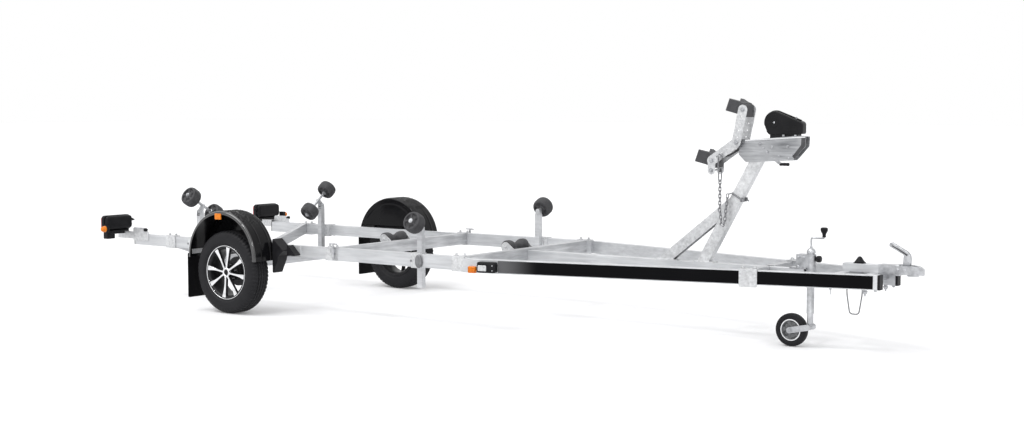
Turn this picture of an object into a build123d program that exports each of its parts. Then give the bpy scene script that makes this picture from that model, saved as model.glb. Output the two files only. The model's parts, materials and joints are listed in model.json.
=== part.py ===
# Boat trailer: a bolted frame of hollow beams on one sprung axle, with keel and side rollers,
# a winch post with its bow support, a jockey wheel and a ball coupling.
# Millimetres.  X runs forwards to the coupling, Y to the left, Z up.
# The origin lies on the ground, midway along and across the whole trailer.
import os
from math import atan, cos, degrees, radians, sin, sqrt, tan

from build123d import *

os.makedirs("parts", exist_ok=True)

# ---------------------------------------------------------------- driving dimensions
rear_overhang = 1450            # axle to the rear end of the lamp arms
nose_reach = 4780               # axle to the tip of the coupling
axle_x = (rear_overhang - nose_reach) / 2
nose_tip = axle_x + nose_reach
clearance = 0.5                 # between telescoping or bolted pieces
fit = 0.3                       # running fit, on the radius
wall = 3                        # of every tube
plate_t = 6                     # of every bracket plate
pin_r = 8                       # of every roller and wheel pin

tyre_r = 298
tyre_w = 165
seat_r = 178                    # where the tyre sits on the rim
lip_r = 194                     # outside of the rim's lip
track = 1880
wheel_y = track / 2
hub_z = tyre_r
hub_bore_r = 20

frame_top = 503
rail_h = 90
rail_w = 50
rail_outer_y = 772
rail_y = rail_outer_y - rail_w / 2
rail_z = frame_top - rail_h / 2
slide_h = rail_h - 2 * wall - 2 * clearance     # rear rail, which slides in the front one
slide_w = rail_w - 2 * wall - 2 * clearance
rear_rail_back = axle_x - 1250
front_rail_back = axle_x + 855
front_rail_front = axle_x + 1985
rail_lap = 150

vee_h = 90
vee_w = 50
vee_top = 498
vee_back_y = 808                # outer face at the rear end
vee_nose_y = 164                # outer face at the front end
vee_front = nose_tip - 220
vee_angle = degrees(atan((vee_back_y - vee_nose_y) / (vee_front - front_rail_front)))
vee_slant_w = vee_w / cos(radians(vee_angle))

cross_h = 84
cross_w = 50
rear_cross_x = axle_x - 870
mid_cross_x = axle_x + 818
neck_cross_x = front_rail_front - 60
nose_cross_x = nose_tip - 1005
rear_inner_y = rail_y - slide_w / 2
front_inner_y = rail_y - rail_w / 2

keel_w = 60
keel_h = 80
keel_top = 490
jockey_x = nose_tip - 718
jockey_tube_r = 24
keel_front = jockey_x - jockey_tube_r - 9

sides = (-1, 1)                 # right, left


# ---------------------------------------------------------------- planes and small helpers
def across(x, y=0, z=0):
    """Plane facing forwards: local x runs to the left (+Y), local y runs up."""
    return Plane(origin=(x, y, z), x_dir=(0, 1, 0), z_dir=(1, 0, 0))


def beside(y, x=0, z=0):
    """Plane facing right (-Y): local x runs forwards, local y runs up."""
    return Plane(origin=(x, y, z), x_dir=(1, 0, 0), z_dir=(0, -1, 0))


def plan(z, x=0, y=0):
    """Plane facing up: local x runs forwards, local y to the left."""
    return Plane(origin=(x, y, z))


def square_to(point, direction, x_dir=(1, 0, 0)):
    """Plane through point, facing along direction."""
    return Plane(origin=point, x_dir=x_dir, z_dir=direction)


def write(piece, name):
    piece.part.label = name
    export_step(piece.part, f"parts/{name}.step")


def vee_out(x):
    """Distance of the V-beam's outer face from the centre line at x."""
    return vee_back_y - (x - front_rail_front) * tan(radians(vee_angle))


def tube(width, height, thick=wall):
    """Section of a hollow beam."""
    Rectangle(width, height)
    Rectangle(width - 2 * thick, height - 2 * thick, mode=Mode.SUBTRACT)


# ---------------------------------------------------------------- side rails
with BuildPart() as rear_rails:
    for side in sides:
        with BuildSketch(across(rear_rail_back, side * rail_y, rail_z)):
            tube(slide_w, slide_h)
        extrude(amount=front_rail_back + rail_lap - rear_rail_back)
write(rear_rails, "rear_rails")

with BuildPart() as front_rails:
    for side in sides:
        with BuildSketch(across(front_rail_back, side * rail_y, rail_z)):
            tube(rail_w, rail_h)
        extrude(amount=front_rail_front - front_rail_back)
write(front_rails, "front_rails")

# ---------------------------------------------------------------- V-beams, trim and end caps
with BuildPart() as vee_beams:
    for side in sides:
        for inset, mode in ((0, Mode.ADD), (wall, Mode.SUBTRACT)):
            slant = inset / cos(radians(vee_angle))
            with BuildSketch(plan(vee_top - vee_h + inset)):
                with BuildLine():
                    Polyline(
                        (front_rail_front, side * (vee_back_y - slant)),
                        (vee_front, side * (vee_nose_y - slant)),
                        (vee_front, side * (vee_nose_y - vee_slant_w + slant)),
                        (front_rail_front, side * (vee_back_y - vee_slant_w + slant)),
                        close=True,
                    )
                make_face()
            extrude(amount=vee_h - 2 * inset, mode=mode)
write(vee_beams, "vee_beams")

trim_h = 78
trim_t = 3
trim_back = front_rail_front + 240
trim_front = vee_front - 25
with BuildPart() as beam_trim:
    slant = trim_t / cos(radians(vee_angle))
    for side in sides:
        with BuildSketch(plan(vee_top - (vee_h + trim_h) / 2)):
            with BuildLine():
                Polyline(
                    (trim_back, side * vee_out(trim_back)),
                    (trim_front, side * vee_out(trim_front)),
                    (trim_front, side * (vee_out(trim_front) + slant)),
                    (trim_back, side * (vee_out(trim_back) + slant)),
                    close=True,
                )
            make_face()
        extrude(amount=trim_h)
write(beam_trim, "beam_trim")

cap_t = 15
cap_corner = 6
with BuildPart() as end_caps:
    for side in sides:
        with BuildSketch(across(vee_front, side * (vee_nose_y - vee_slant_w / 2), vee_top - vee_h / 2)):
            RectangleRounded(vee_slant_w, vee_h, cap_corner)
        extrude(amount=cap_t)
        with BuildSketch(across(rear_rail_back, side * rail_y, rail_z)):
            RectangleRounded(slide_w, slide_h, cap_corner)
        extrude(amount=-cap_t / 2)
write(end_caps, "end_caps")

# ---------------------------------------------------------------- cross beams and keel beam
dip_angle = 18                  # of the rear cross beam's two slopes
dip_half = 120                  # level middle stretch of the dipped beam, half its length
dip_drop = (rear_inner_y - dip_half) * tan(radians(dip_angle))
with BuildPart() as rear_cross_beam:
    for inset, mode in ((0, Mode.ADD), (wall, Mode.SUBTRACT)):
        high, low = frame_top - inset, frame_top - cross_h + inset
        with BuildSketch(across(rear_cross_x - cross_w / 2 + inset)):
            with BuildLine():
                Polyline(
                    (-rear_inner_y, high), (-dip_half, high - dip_drop), (dip_half, high - dip_drop),
                    (rear_inner_y, high), (rear_inner_y, low), (dip_half, low - dip_drop),
                    (-dip_half, low - dip_drop), (-rear_inner_y, low), close=True,
                )
            make_face()
        extrude(amount=cross_w - 2 * inset, mode=mode)
write(rear_cross_beam, "rear_cross_beam")

bar_low = 495                   # underside of the draw bar, on its two carriers
bar_back = nose_tip - 499
carrier_w = 50
carrier_x = (bar_back + 25, bar_back + 205)
with BuildPart() as cross_beams:
    for x, reach in ((mid_cross_x, rear_inner_y), (neck_cross_x, front_inner_y)):
        with BuildSketch(beside(reach, x, frame_top - cross_h / 2)):
            tube(cross_w, cross_h)
        extrude(amount=2 * reach)
    for side in sides:
        for inset, mode in ((0, Mode.ADD), (wall, Mode.SUBTRACT)):
            back, front = nose_cross_x - cross_w / 2 + inset, nose_cross_x + cross_w / 2 - inset
            with BuildSketch(plan(vee_top - (vee_h + cross_h) / 2 + inset)):
                with BuildLine():
                    Polyline(
                        (back, side * keel_w / 2), (front, side * keel_w / 2),
                        (front, side * (vee_out(front) - vee_slant_w)),
                        (back, side * (vee_out(back) - vee_slant_w)), close=True,
                    )
                make_face()
            extrude(amount=cross_h - 2 * inset, mode=mode)
    for x in carrier_x:
        for inset, mode in ((0, Mode.ADD), (wall, Mode.SUBTRACT)):
            back, front = x - carrier_w / 2 + inset, x + carrier_w / 2 - inset
            half_back, half_front = vee_out(back) - vee_slant_w, vee_out(front) - vee_slant_w
            with BuildSketch(plan(bar_low - carrier_w + inset)):
                with BuildLine():
                    Polyline(
                        (back, -half_back), (front, -half_front), (front, half_front),
                        (back, half_back), close=True,
                    )
                make_face()
            extrude(amount=carrier_w - 2 * inset, mode=mode)
write(cross_beams, "cross_beams")

keel_back = neck_cross_x + cross_w / 2
with BuildPart() as keel_beam:
    with BuildSketch(across(keel_back, 0, keel_top - keel_h / 2)):
        tube(keel_w, keel_h)
    extrude(amount=keel_front - keel_back)
write(keel_beam, "keel_beam")

# ---------------------------------------------------------------- fender sizes, which others follow
fender_dx = -20                 # arch's centre ahead of the axle
fender_z = hub_z + 102
fender_r = 338
fender_t = 4
fender_in_y = wheel_y - tyre_w / 2 - 25.5
fender_out_y = wheel_y + tyre_w / 2 + 17.5
fender_low = fender_z - 8

# ---------------------------------------------------------------- clamp plates
side_post_w = 40
middle_post_x = axle_x + 1543
rear_post_x = axle_x - 625
middle_post_y = front_inner_y - 9 - side_post_w / 2
rear_post_y = rear_inner_y - 38.5 - side_post_w / 2
clamp_l = 104
post_clamp_l = 120
nut_r = 9
nut_h = 14
boss_r = 30                     # oval boss on the outer face of a post's clamp
boss_t = 8
chock_front = axle_x + fender_dx + fender_r + 112      # the chock's foremost edge, against its holder
chock_l = 106
holder_l = 77
holder_w = 56
holder_y = rail_y + slide_w / 2
# x of the middle, half the rail's width, half its height
cross_seats = (
    (rear_cross_x + 30, slide_w / 2, slide_h / 2),
    (mid_cross_x - 18, slide_w / 2, slide_h / 2),
    (neck_cross_x - 5, rail_w / 2, rail_h / 2),
)
# x of the post, half the rail's width, half its height, y of the post
post_seats = (
    (middle_post_x, rail_w / 2, rail_h / 2, middle_post_y),
    (rear_post_x, slide_w / 2, slide_h / 2, rear_post_y),
)
with BuildPart() as rail_clamps:
    for side in sides:
        for x, half_w, half_h in cross_seats:
            with BuildSketch(across(x - clamp_l / 2, side * rail_y, rail_z)):
                with Locations((side * (half_w + plate_t / 2), 0)):
                    Rectangle(plate_t, 2 * (half_h + plate_t))
                with GridLocations(1, 2 * half_h + plate_t, 1, 2):
                    with Locations((side * plate_t / 2, 0)):
                        Rectangle(2 * half_w + plate_t, plate_t)
            extrude(amount=clamp_l)
            with BuildSketch(plan(rail_z + half_h + plate_t, x, side * rail_y)):
                with GridLocations(clamp_l - 4 * nut_r, 1, 2, 1):
                    RegularPolygon(nut_r, 6)
            extrude(amount=nut_h)
        for x, half_w, half_h, post_y in post_seats:
            outer_y = rail_y + half_w + plate_t
            inner_y = post_y + side_post_w / 2
            with BuildSketch(across(x - side_post_w / 2, 0, rail_z)):
                with Locations((side * (outer_y + inner_y) / 2, half_h + plate_t / 2)):
                    Rectangle(outer_y - inner_y, plate_t)
                with Locations((side * (rail_y - half_w + inner_y) / 2, 0)):
                    Rectangle(rail_y - half_w - inner_y, 2 * half_h + 2 * plate_t)
                with Locations((side * (outer_y - plate_t / 2), 0)):
                    Rectangle(plate_t, 2 * half_h + 2 * plate_t)
            extrude(amount=post_clamp_l / 2 + side_post_w / 2)
            with BuildSketch(beside(side * outer_y, x + 36, rail_z)):
                Ellipse(boss_r, half_h)
            extrude(amount=-side * boss_t)
    with BuildSketch(beside(-holder_y, chock_front, rail_z)):
        Rectangle(2 * holder_l, slide_h - 10)
    extrude(amount=plate_t)
    with BuildSketch(beside(-holder_y - plate_t, chock_front + fit, rail_z)):
        with BuildLine():
            Polyline((0, -28), (0, 42), (10, 45), (holder_l, -20), (holder_l - 8, -28), close=True)
        make_face()
    extrude(amount=holder_w)
write(rail_clamps, "rail_clamps")

# ---------------------------------------------------------------- axle
axle_tube_dx = 180              # axle tube ahead of the wheel centre
axle_tube_side = 70
axle_tube_z = rail_z - slide_h / 2 - axle_tube_side / 2 - plate_t
arm_t = 18
arm_r = 40
swing_y = wheel_y - 105         # outer face of the swing arm
seat_l = 160
with BuildPart() as axle_beam:
    with BuildSketch(beside(swing_y - arm_t, axle_x + axle_tube_dx, axle_tube_z)):
        RectangleRounded(axle_tube_side, axle_tube_side, 10)
        RectangleRounded(axle_tube_side - 10, axle_tube_side - 10, 5, mode=Mode.SUBTRACT)
    extrude(amount=2 * (swing_y - arm_t))
    for side in sides:
        with BuildSketch(plan(axle_tube_z + axle_tube_side / 2, axle_x + axle_tube_dx, side * rail_y)):
            Rectangle(seat_l, 90)
        extrude(amount=plate_t)
write(axle_beam, "axle_beam")

stub_r = hub_bore_r - clearance
stub_l = 125
with BuildPart() as swing_arms:
    for side in sides:
        with BuildSketch(beside(side * swing_y, axle_x, hub_z)):
            with Locations((0, 0), (axle_tube_dx, axle_tube_z - hub_z)):
                Circle(arm_r)
            make_hull()
        extrude(amount=side * arm_t)
        with BuildSketch(beside(side * swing_y, axle_x, hub_z)):
            Circle(stub_r)
        extrude(amount=-side * stub_l)
write(swing_arms, "swing_arms")

# ---------------------------------------------------------------- wheels
rim_w = 140
bead_gap = 1.5
drum_r = 105
drum_back = 46                  # the drum's rear face, inboard of the wheel's middle
disc_y = 14                     # the rim's mounting face, outboard of the wheel's middle
hub_r = 60
spoke_count = 8
spoke_y = 52                    # back of the spokes, outboard of the wheel's middle
spoke_t = 20
nave_r = 34
shoulder_r = tyre_r - 16
for side, word in ((-1, "right"), (1, "left")):
    turn = Axis((axle_x, side * wheel_y, hub_z), (0, 1, 0))
    half = Plane(origin=(axle_x, side * wheel_y, hub_z), x_dir=(0, side, 0), z_dir=(1, 0, 0))
    bead = rim_w / 2 - bead_gap
    # distance out from the tyre's middle, radius: one side wall, from the seat to the tread
    flank = (
        (bead, seat_r), (bead, lip_r), (tyre_w / 2 - 3, lip_r + 20), (tyre_w / 2, lip_r + 44),
        (tyre_w / 2 - 3, shoulder_r - 20), (tyre_w / 2 - 10, shoulder_r), (tyre_w / 2 - 24, tyre_r - 4),
        (tyre_w / 4, tyre_r),
    )
    with BuildPart() as tyre:
        with BuildSketch(half):
            with BuildLine():
                Polyline(*flank, *[(-out, radius) for out, radius in reversed(flank)], close=True)
            make_face()
        revolve(axis=turn)
    write(tyre, f"tyre_{word}")

    with BuildPart() as rim:
        with BuildSketch(half):
            with BuildLine():
                Polyline(
                    (rim_w / 2 - 1, seat_r - fit), (rim_w / 2 - 1, lip_r), (rim_w / 2 + 4, lip_r),
                    (rim_w / 2 + 4, seat_r - 6), (rim_w / 2 - 8, seat_r - 12), (8 - rim_w / 2, seat_r - 8),
                    (-rim_w / 2 - 4, seat_r - 4), (-rim_w / 2 - 4, lip_r), (1 - rim_w / 2, lip_r),
                    (1 - rim_w / 2, seat_r - fit), close=True,
                )
            make_face()
        revolve(axis=turn)
        with BuildSketch(beside(side * (wheel_y + spoke_y), axle_x, hub_z)):
            Circle(nave_r)
            Circle(hub_bore_r, mode=Mode.SUBTRACT)
            with PolarLocations(0, spoke_count):
                with BuildLine():
                    Polyline(
                        (nave_r - 6, -9), (110, -7), (seat_r - 8, -20), (seat_r - 8, 20), (110, 7),
                        (nave_r - 6, 9), close=True,
                    )
                make_face()
        extrude(amount=side * spoke_t)
        for radius, depth in ((hub_r, 20), (nave_r, spoke_y - disc_y)):
            with BuildSketch(beside(side * (wheel_y + disc_y), axle_x, hub_z)):
                Circle(radius)
                Circle(hub_bore_r, mode=Mode.SUBTRACT)
            extrude(amount=-side * depth)
    write(rim, f"rim_{word}")

    with BuildPart() as drum:
        with BuildSketch(beside(side * (wheel_y + disc_y - clearance), axle_x, hub_z)):
            Circle(hub_r)
            Circle(hub_bore_r, mode=Mode.SUBTRACT)
        extrude(amount=side * (drum_back + disc_y - clearance))
        with BuildSketch(beside(side * (wheel_y - drum_back), axle_x, hub_z)):
            Circle(drum_r)
            Circle(hub_bore_r, mode=Mode.SUBTRACT)
        extrude(amount=side * 52)
    write(drum, f"hub_{word}")

# ---------------------------------------------------------------- fenders and mud flaps
lip_w = 24
panel_low = fender_low + 120
ridge_h = 4
ridge_w = 9
ridge_dy = (38, 128)            # ridges over the arch, outboard of its inner edge
# y of the sheet, lowest z, inner radius: the inner panel and the outer lip
fender_sheets = (
    (fender_in_y, panel_low, 0),
    (fender_out_y - fender_t, fender_low, fender_r - lip_w),
)
with BuildPart() as fenders:
    for side in sides:
        centre = (axle_x + fender_dx, fender_z)
        with BuildSketch(beside(side * fender_in_y, *centre)):
            Circle(fender_r)
            with Locations((0, (fender_low - fender_z) / 2)):
                Rectangle(2 * fender_r, fender_z - fender_low)
            Circle(fender_r - fender_t, mode=Mode.SUBTRACT)
            with Locations((0, (fender_low - fender_z) / 2)):
                Rectangle(2 * (fender_r - fender_t), fender_z - fender_low, mode=Mode.SUBTRACT)
            with Locations((0, fender_low - fender_z - fender_r)):
                Rectangle(3 * fender_r, 2 * fender_r, mode=Mode.SUBTRACT)
        extrude(amount=-side * (fender_out_y - fender_in_y))
        for out in ridge_dy:
            with BuildSketch(beside(side * (fender_in_y + out), *centre)):
                Circle(fender_r + ridge_h)
                Circle(fender_r - fender_t / 2, mode=Mode.SUBTRACT)
                with Locations((0, -fender_r)):
                    Rectangle(3 * fender_r, 2 * fender_r + 100, mode=Mode.SUBTRACT)
            extrude(amount=-side * ridge_w)
        for y, low, inner_r in fender_sheets:
            with BuildSketch(beside(side * y, *centre)):
                Circle(fender_r)
                if inner_r:
                    Circle(inner_r, mode=Mode.SUBTRACT)
                with Locations((0, low - fender_z - fender_r)):
                    Rectangle(3 * fender_r, 2 * fender_r, mode=Mode.SUBTRACT)
            extrude(amount=-side * fender_t)
write(fenders, "fenders")

flap_t = 5
flap_low = 95
flap_lap = 30
flap_x = axle_x + fender_dx - fender_r - flap_t
flap_high = fender_low + flap_lap
with BuildPart() as mud_flaps:
    for side in sides:
        with BuildSketch(beside(side * fender_in_y, flap_x + flap_t / 2, (flap_low + flap_high) / 2)):
            Rectangle(flap_t, flap_high - flap_low)
        extrude(amount=-side * (fender_out_y - fender_in_y))
write(mud_flaps, "mud_flaps")

# ---------------------------------------------------------------- stays, lamp arms and gussets
stay_h = 34
stay_t = 5
stay_z = fender_z + 14
stay_dx = sqrt((fender_r - fender_t) ** 2 - (stay_z + stay_h / 2 - fender_z) ** 2) - stay_t
lamp_arm_w = 36
lamp_arm_h = 54
lamp_arm_top = frame_top + 10
gusset_back = rear_rail_back - 12
gusset_l = 172
with BuildPart() as stays:
    for side in sides:
        for way in (-1, 1):
            stay_x = axle_x + fender_dx + way * stay_dx
            with BuildSketch(beside(side * holder_y, stay_x, stay_z + stay_h / 2)):
                Rectangle(stay_t, stay_h)
            extrude(amount=-side * (fender_out_y - 30 - holder_y))
        with BuildSketch(across(axle_x - rear_overhang, side * rail_y, lamp_arm_top - lamp_arm_h / 2)):
            tube(lamp_arm_w, lamp_arm_h)
        extrude(amount=rear_rail_back - cap_t / 2 - axle_x + rear_overhang)
        with BuildSketch(beside(side * holder_y, gusset_back, rail_z)):
            with BuildLine():
                Polyline(
                    (0, -12), (gusset_l - 12, -8), (gusset_l, 0), (gusset_l, 62), (gusset_l - 34, 92),
                    (12, 92), (0, 80), close=True,
                )
            make_face()
        extrude(amount=-side * plate_t)
write(stays, "stays")

# ---------------------------------------------------------------- tail lamps, side lamps
lamp_in_y = 686
lamp_out_y = 946
lamp_h = 120
lamp_d = 68
lamp_low = lamp_arm_top + 8
lamp_back = axle_x - rear_overhang + 20
lamp_mid_y = (lamp_in_y + lamp_out_y) / 2
marker_x = lamp_back + 78
marker_z = lamp_low + 22
marker_side = 46
marker_in_y = 975               # amber cap, on the stem's end
marker_out_y = marker_in_y + 35
with BuildPart() as tail_lamps:
    for side in sides:
        with BuildSketch(across(lamp_back, side * lamp_mid_y, lamp_low + lamp_h / 2)):
            RectangleRounded(lamp_out_y - lamp_in_y, lamp_h, 22)
        extrude(amount=lamp_d)
        with BuildSketch(across(lamp_back, side * rail_y, (lamp_low + lamp_arm_top) / 2)):
            Rectangle(lamp_arm_w, lamp_low - lamp_arm_top)
        extrude(amount=lamp_d)
        foot_in_y, foot_out_y = rail_y + lamp_arm_w / 2, lamp_out_y - 16
        with BuildSketch(across(lamp_back, side * (foot_in_y + foot_out_y) / 2, lamp_low - 30 + 5)):
            Rectangle(foot_out_y - foot_in_y, 70)
        extrude(amount=lamp_d - 20)
        with BuildSketch(beside(side * (lamp_out_y - 16), marker_x, marker_z)):
            Rectangle(marker_side, marker_side)
        extrude(amount=-side * (marker_in_y - lamp_out_y + 16))
write(tail_lamps, "tail_lamps")

lens_t = 12
lens_inset = 12
with BuildPart() as tail_lenses:
    for side in sides:
        with BuildSketch(across(lamp_back, side * lamp_mid_y, lamp_low + lamp_h / 2)):
            RectangleRounded(lamp_out_y - lamp_in_y - 2 * lens_inset, lamp_h - 2 * lens_inset, 14)
        extrude(amount=-lens_t)
write(tail_lenses, "tail_lenses")

reflector_l = 62
reflector_h = 44
reflector_t = 8
reflector_dx = -18              # reflector's middle from the arch's centre
side_lamp_l = 60                # amber part of the lamp on the V-beam
side_lamp_h = 46
side_lamp_d = 18
with BuildPart() as side_markers:
    for side in sides:
        with BuildSketch(beside(side * marker_in_y, marker_x, marker_z)):
            RectangleRounded(marker_side, marker_side + 4, 12)
        extrude(amount=-side * (marker_out_y - marker_in_y))
        reflector_x = axle_x + fender_dx + reflector_dx
        with BuildSketch(beside(side * fender_out_y, reflector_x, fender_z + fender_r - 38)):
            Rectangle(reflector_l, reflector_h)
        extrude(amount=-side * reflector_t)
        x = front_rail_front + 66
        with BuildSketch(plan(vee_top - vee_h - 2, x, side * vee_out(x))):
            with Locations(Location((0, side * (side_lamp_d / 2 + 1), 0), (0, 0, -side * vee_angle))):
                Rectangle(side_lamp_l, side_lamp_d)
        extrude(amount=side_lamp_h)
write(side_markers, "side_markers")

front_lamp_l = 132
front_lamp_h = 70
front_lamp_d = 36
with BuildPart() as front_lamps:
    for side in sides:
        x = front_rail_front + 172
        with BuildSketch(plan(vee_top - 84, x, side * vee_out(x))):
            with Locations(Location((0, side * (front_lamp_d / 2 + 1), 0), (0, 0, -side * vee_angle))):
                Rectangle(front_lamp_l, front_lamp_d)
        extrude(amount=front_lamp_h)
write(front_lamps, "front_lamps")

# ---------------------------------------------------------------- keel rollers
keel_roller_r = 45
keel_roller_w = 220
keel_waist_r = 24
keel_bore_r = pin_r + fit
keel_roller_gap = 30            # between the roller and the cross beam's rear face
keel_roller_lift = 10           # axis above the beam's top
ear_r = 34
ear_y = keel_roller_w / 2 + 1
ear_foot = 66                   # height of the brackets' foot, below the beam's top
keel_rollers = (
    ("rear", rear_cross_x, frame_top - dip_drop),
    ("middle", mid_cross_x, frame_top),
    ("front", neck_cross_x, frame_top),
)
for word, beam_x, beam_top in keel_rollers:
    roller_x = beam_x - cross_w / 2 - keel_roller_r - keel_roller_gap
    centre = (roller_x, 0, beam_top + keel_roller_lift)
    half = keel_roller_w / 2
    # distance from the middle, radius
    flank = ((half, keel_bore_r), (half, 36), (half - 10, keel_roller_r), (half - 34, keel_roller_r))
    with BuildPart() as keel_roller:
        with BuildSketch(Plane(origin=centre, x_dir=(0, 1, 0), z_dir=(1, 0, 0))):
            with BuildLine():
                Polyline(*[(-out, radius) for out, radius in reversed(flank)])
                Line((-half, keel_bore_r), (half, keel_bore_r))
                Polyline(*flank)
                ThreePointArc((half - 34, keel_roller_r), (0, keel_waist_r), (34 - half, keel_roller_r))
            make_face()
        revolve(axis=Axis(centre, (0, 1, 0)))
    write(keel_roller, f"keel_roller_{word}")

with BuildPart() as keel_brackets:
    for word, beam_x, beam_top in keel_rollers:
        back = beam_x - cross_w / 2
        roller_x = back - keel_roller_r - keel_roller_gap
        roller_z = beam_top + keel_roller_lift
        with BuildSketch(across(back, 0, beam_top - ear_foot / 2 - 4)):
            Rectangle(2 * (ear_y + plate_t), ear_foot)
        extrude(amount=-plate_t)
        for side in sides:
            with BuildSketch(beside(side * ear_y, roller_x, roller_z)):
                Circle(ear_r)
                with Locations((back - roller_x - 4, beam_top - ear_foot / 2 - 4 - roller_z)):
                    Rectangle(8, ear_foot)
                make_hull()
            extrude(amount=-side * plate_t)
        with BuildSketch(beside(ear_y + plate_t + 12, roller_x, roller_z)):
            Circle(pin_r)
        extrude(amount=2 * (ear_y + plate_t + 12))
write(keel_brackets, "keel_brackets")

# ---------------------------------------------------------------- side posts and their rollers
roller_r = 71
roller_w = 78
roller_recess = 14              # depth of the dished faces
washer_t = 5
washer_r = 15
side_post_low = 265
middle_tilt = 25
# word, side, roller's middle from the post's centre along the pin, height of the pin at the post
middle_seats = (("right", -1, 80, 675), ("left", 1, 66, 705))
rod_r = 10
rod_lift = 52                   # rod above the pivot, square to the rod
rocker_reach = 133              # rod's middle to the middle of a roller
# word, side, height of the pivot, tilt of the rod
rocker_seats = (("right", -1, 690, 30.7), ("left", 1, 668, 39.5))
pivot_ear = 5
pivot_eye_r = 16


def side_roller(centre, outward, bore):
    """Ribbed side roller with a dished face at each end, about the line through centre along outward."""
    half = roller_w / 2
    # distance from the middle, radius
    flank = (
        (half, bore), (half, 24), (half - roller_recess, 30), (half - roller_recess, 50), (half, 54),
        (half, roller_r - 10), (half - 10, roller_r),
    )
    with BuildPart() as roller:
        with BuildSketch(Plane(origin=centre, x_dir=outward, z_dir=(1, 0, 0))):
            with BuildLine():
                Polyline(*flank, *[(-out, radius) for out, radius in reversed(flank)], close=True)
            make_face()
        revolve(axis=Axis(centre, outward))
    return roller


def tilted(side, angle):
    """Unit vector outwards and up, at an angle to the ground."""
    return (0, side * cos(radians(angle)), sin(radians(angle)))


with BuildPart() as side_posts:
    for word, side, reach, pin_z in middle_seats:
        top = pin_z - 24
        with BuildSketch(plan(side_post_low, middle_post_x, side * middle_post_y)):
            tube(side_post_w, side_post_w)
        extrude(amount=top - side_post_low)
        with BuildSketch(beside(side * (middle_post_y - 14), middle_post_x, pin_z)):
            Circle(18)
            with Locations((0, top + 2 - pin_z)):
                Rectangle(side_post_w, 4)
            make_hull()
        extrude(amount=-side * 28)
        start = (middle_post_x, side * middle_post_y, pin_z)
        pin = square_to(start, tilted(side, middle_tilt))
        with BuildSketch(pin):
            Circle(pin_r)
        extrude(amount=reach + roller_w / 2 + washer_t + 4)
        with BuildSketch(pin.offset(reach + roller_w / 2 + fit)):
            Circle(washer_r)
        extrude(amount=washer_t)
        with BuildSketch(pin):
            Circle(13)
        extrude(amount=reach - roller_w / 2 - fit)
    for word, side, pivot_z, tilt in rocker_seats:
        top = pivot_z - 32
        with BuildSketch(plan(side_post_low, rear_post_x, side * rear_post_y)):
            tube(side_post_w, side_post_w)
        extrude(amount=top - side_post_low)
        for way in sides:
            with BuildSketch(across(rear_post_x + way * side_post_w / 2, side * rear_post_y, pivot_z)):
                Circle(pivot_eye_r)
                with Locations((0, top - 20 - pivot_z)):
                    Rectangle(side_post_w, 40)
                make_hull()
            extrude(amount=-way * pivot_ear)
        with BuildSketch(across(rear_post_x - side_post_w / 2 - 8, side * rear_post_y, pivot_z)):
            Circle(pin_r)
        extrude(amount=side_post_w + 16)
write(side_posts, "side_posts")

for word, side, reach, pin_z in middle_seats:
    outward = tilted(side, middle_tilt)
    centre = (middle_post_x, side * middle_post_y + reach * outward[1], pin_z + reach * outward[2])
    write(side_roller(centre, outward, pin_r + fit), f"middle_roller_{word}")

hub_half = side_post_w / 2 - pivot_ear - 1
for word, side, pivot_z, tilt in rocker_seats:
    outward = tilted(side, tilt)
    lift_y, lift_z = -side * rod_lift * outward[2], rod_lift * cos(radians(tilt))
    middle = (rear_post_x, side * rear_post_y + lift_y, pivot_z + lift_z)
    rod = square_to(middle, outward)
    with BuildPart() as rocker:
        with BuildSketch(across(rear_post_x - hub_half, side * rear_post_y, pivot_z)):
            Circle(pivot_eye_r - 1)
            with Locations((lift_y, lift_z)):
                Circle(rod_r)
            make_hull()
            Circle(pin_r + fit, mode=Mode.SUBTRACT)
        extrude(amount=2 * hub_half)
        reach = rocker_reach + roller_w / 2 + washer_t + 6
        with BuildSketch(rod.offset(-reach)):
            Circle(rod_r)
        extrude(amount=2 * reach)
        for way in sides:
            for gap, grow in ((-roller_w / 2 - fit, -1), (roller_w / 2 + fit, 1)):
                with BuildSketch(rod.offset(way * (rocker_reach + gap))):
                    Circle(washer_r)
                extrude(amount=way * grow * washer_t)
    write(rocker, f"rocker_arm_{word}")
    for way, place in ((1, "outer"), (-1, "inner")):
        step = way * rocker_reach
        centre = (rear_post_x, middle[1] + step * outward[1], middle[2] + step * outward[2])
        write(side_roller(centre, outward, rod_r + fit), f"{place}_roller_{word}")

# ---------------------------------------------------------------- winch post and brace
post_w = 54                     # across the trailer
post_d = 74
post_lean = radians(60.6)
post_foot_x = nose_tip - 1457   # where the post's centre line meets the keel beam's top
base_t = 6
base_l = 150
head_z = 1150                   # where the head's lower edge crosses the post
head_x = post_foot_x + (head_z - keel_top) / tan(post_lean)
with BuildPart() as winch_post:
    foot = Plane(
        origin=(post_foot_x, 0, keel_top + base_t), x_dir=(sin(post_lean), 0, -cos(post_lean)),
        z_dir=(cos(post_lean), 0, sin(post_lean)),
    )
    with BuildSketch(foot.offset(-post_d / 2)):
        tube(post_d, post_w)
    extrude(amount=(head_z + 100 - keel_top) / sin(post_lean))
    split(bisect_by=plan(keel_top + base_t), keep=Keep.TOP)
    with BuildSketch(plan(keel_top, post_foot_x + 5, 0)):
        Rectangle(base_l, keel_w)
    extrude(amount=base_t)
write(winch_post, "winch_post")

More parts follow.
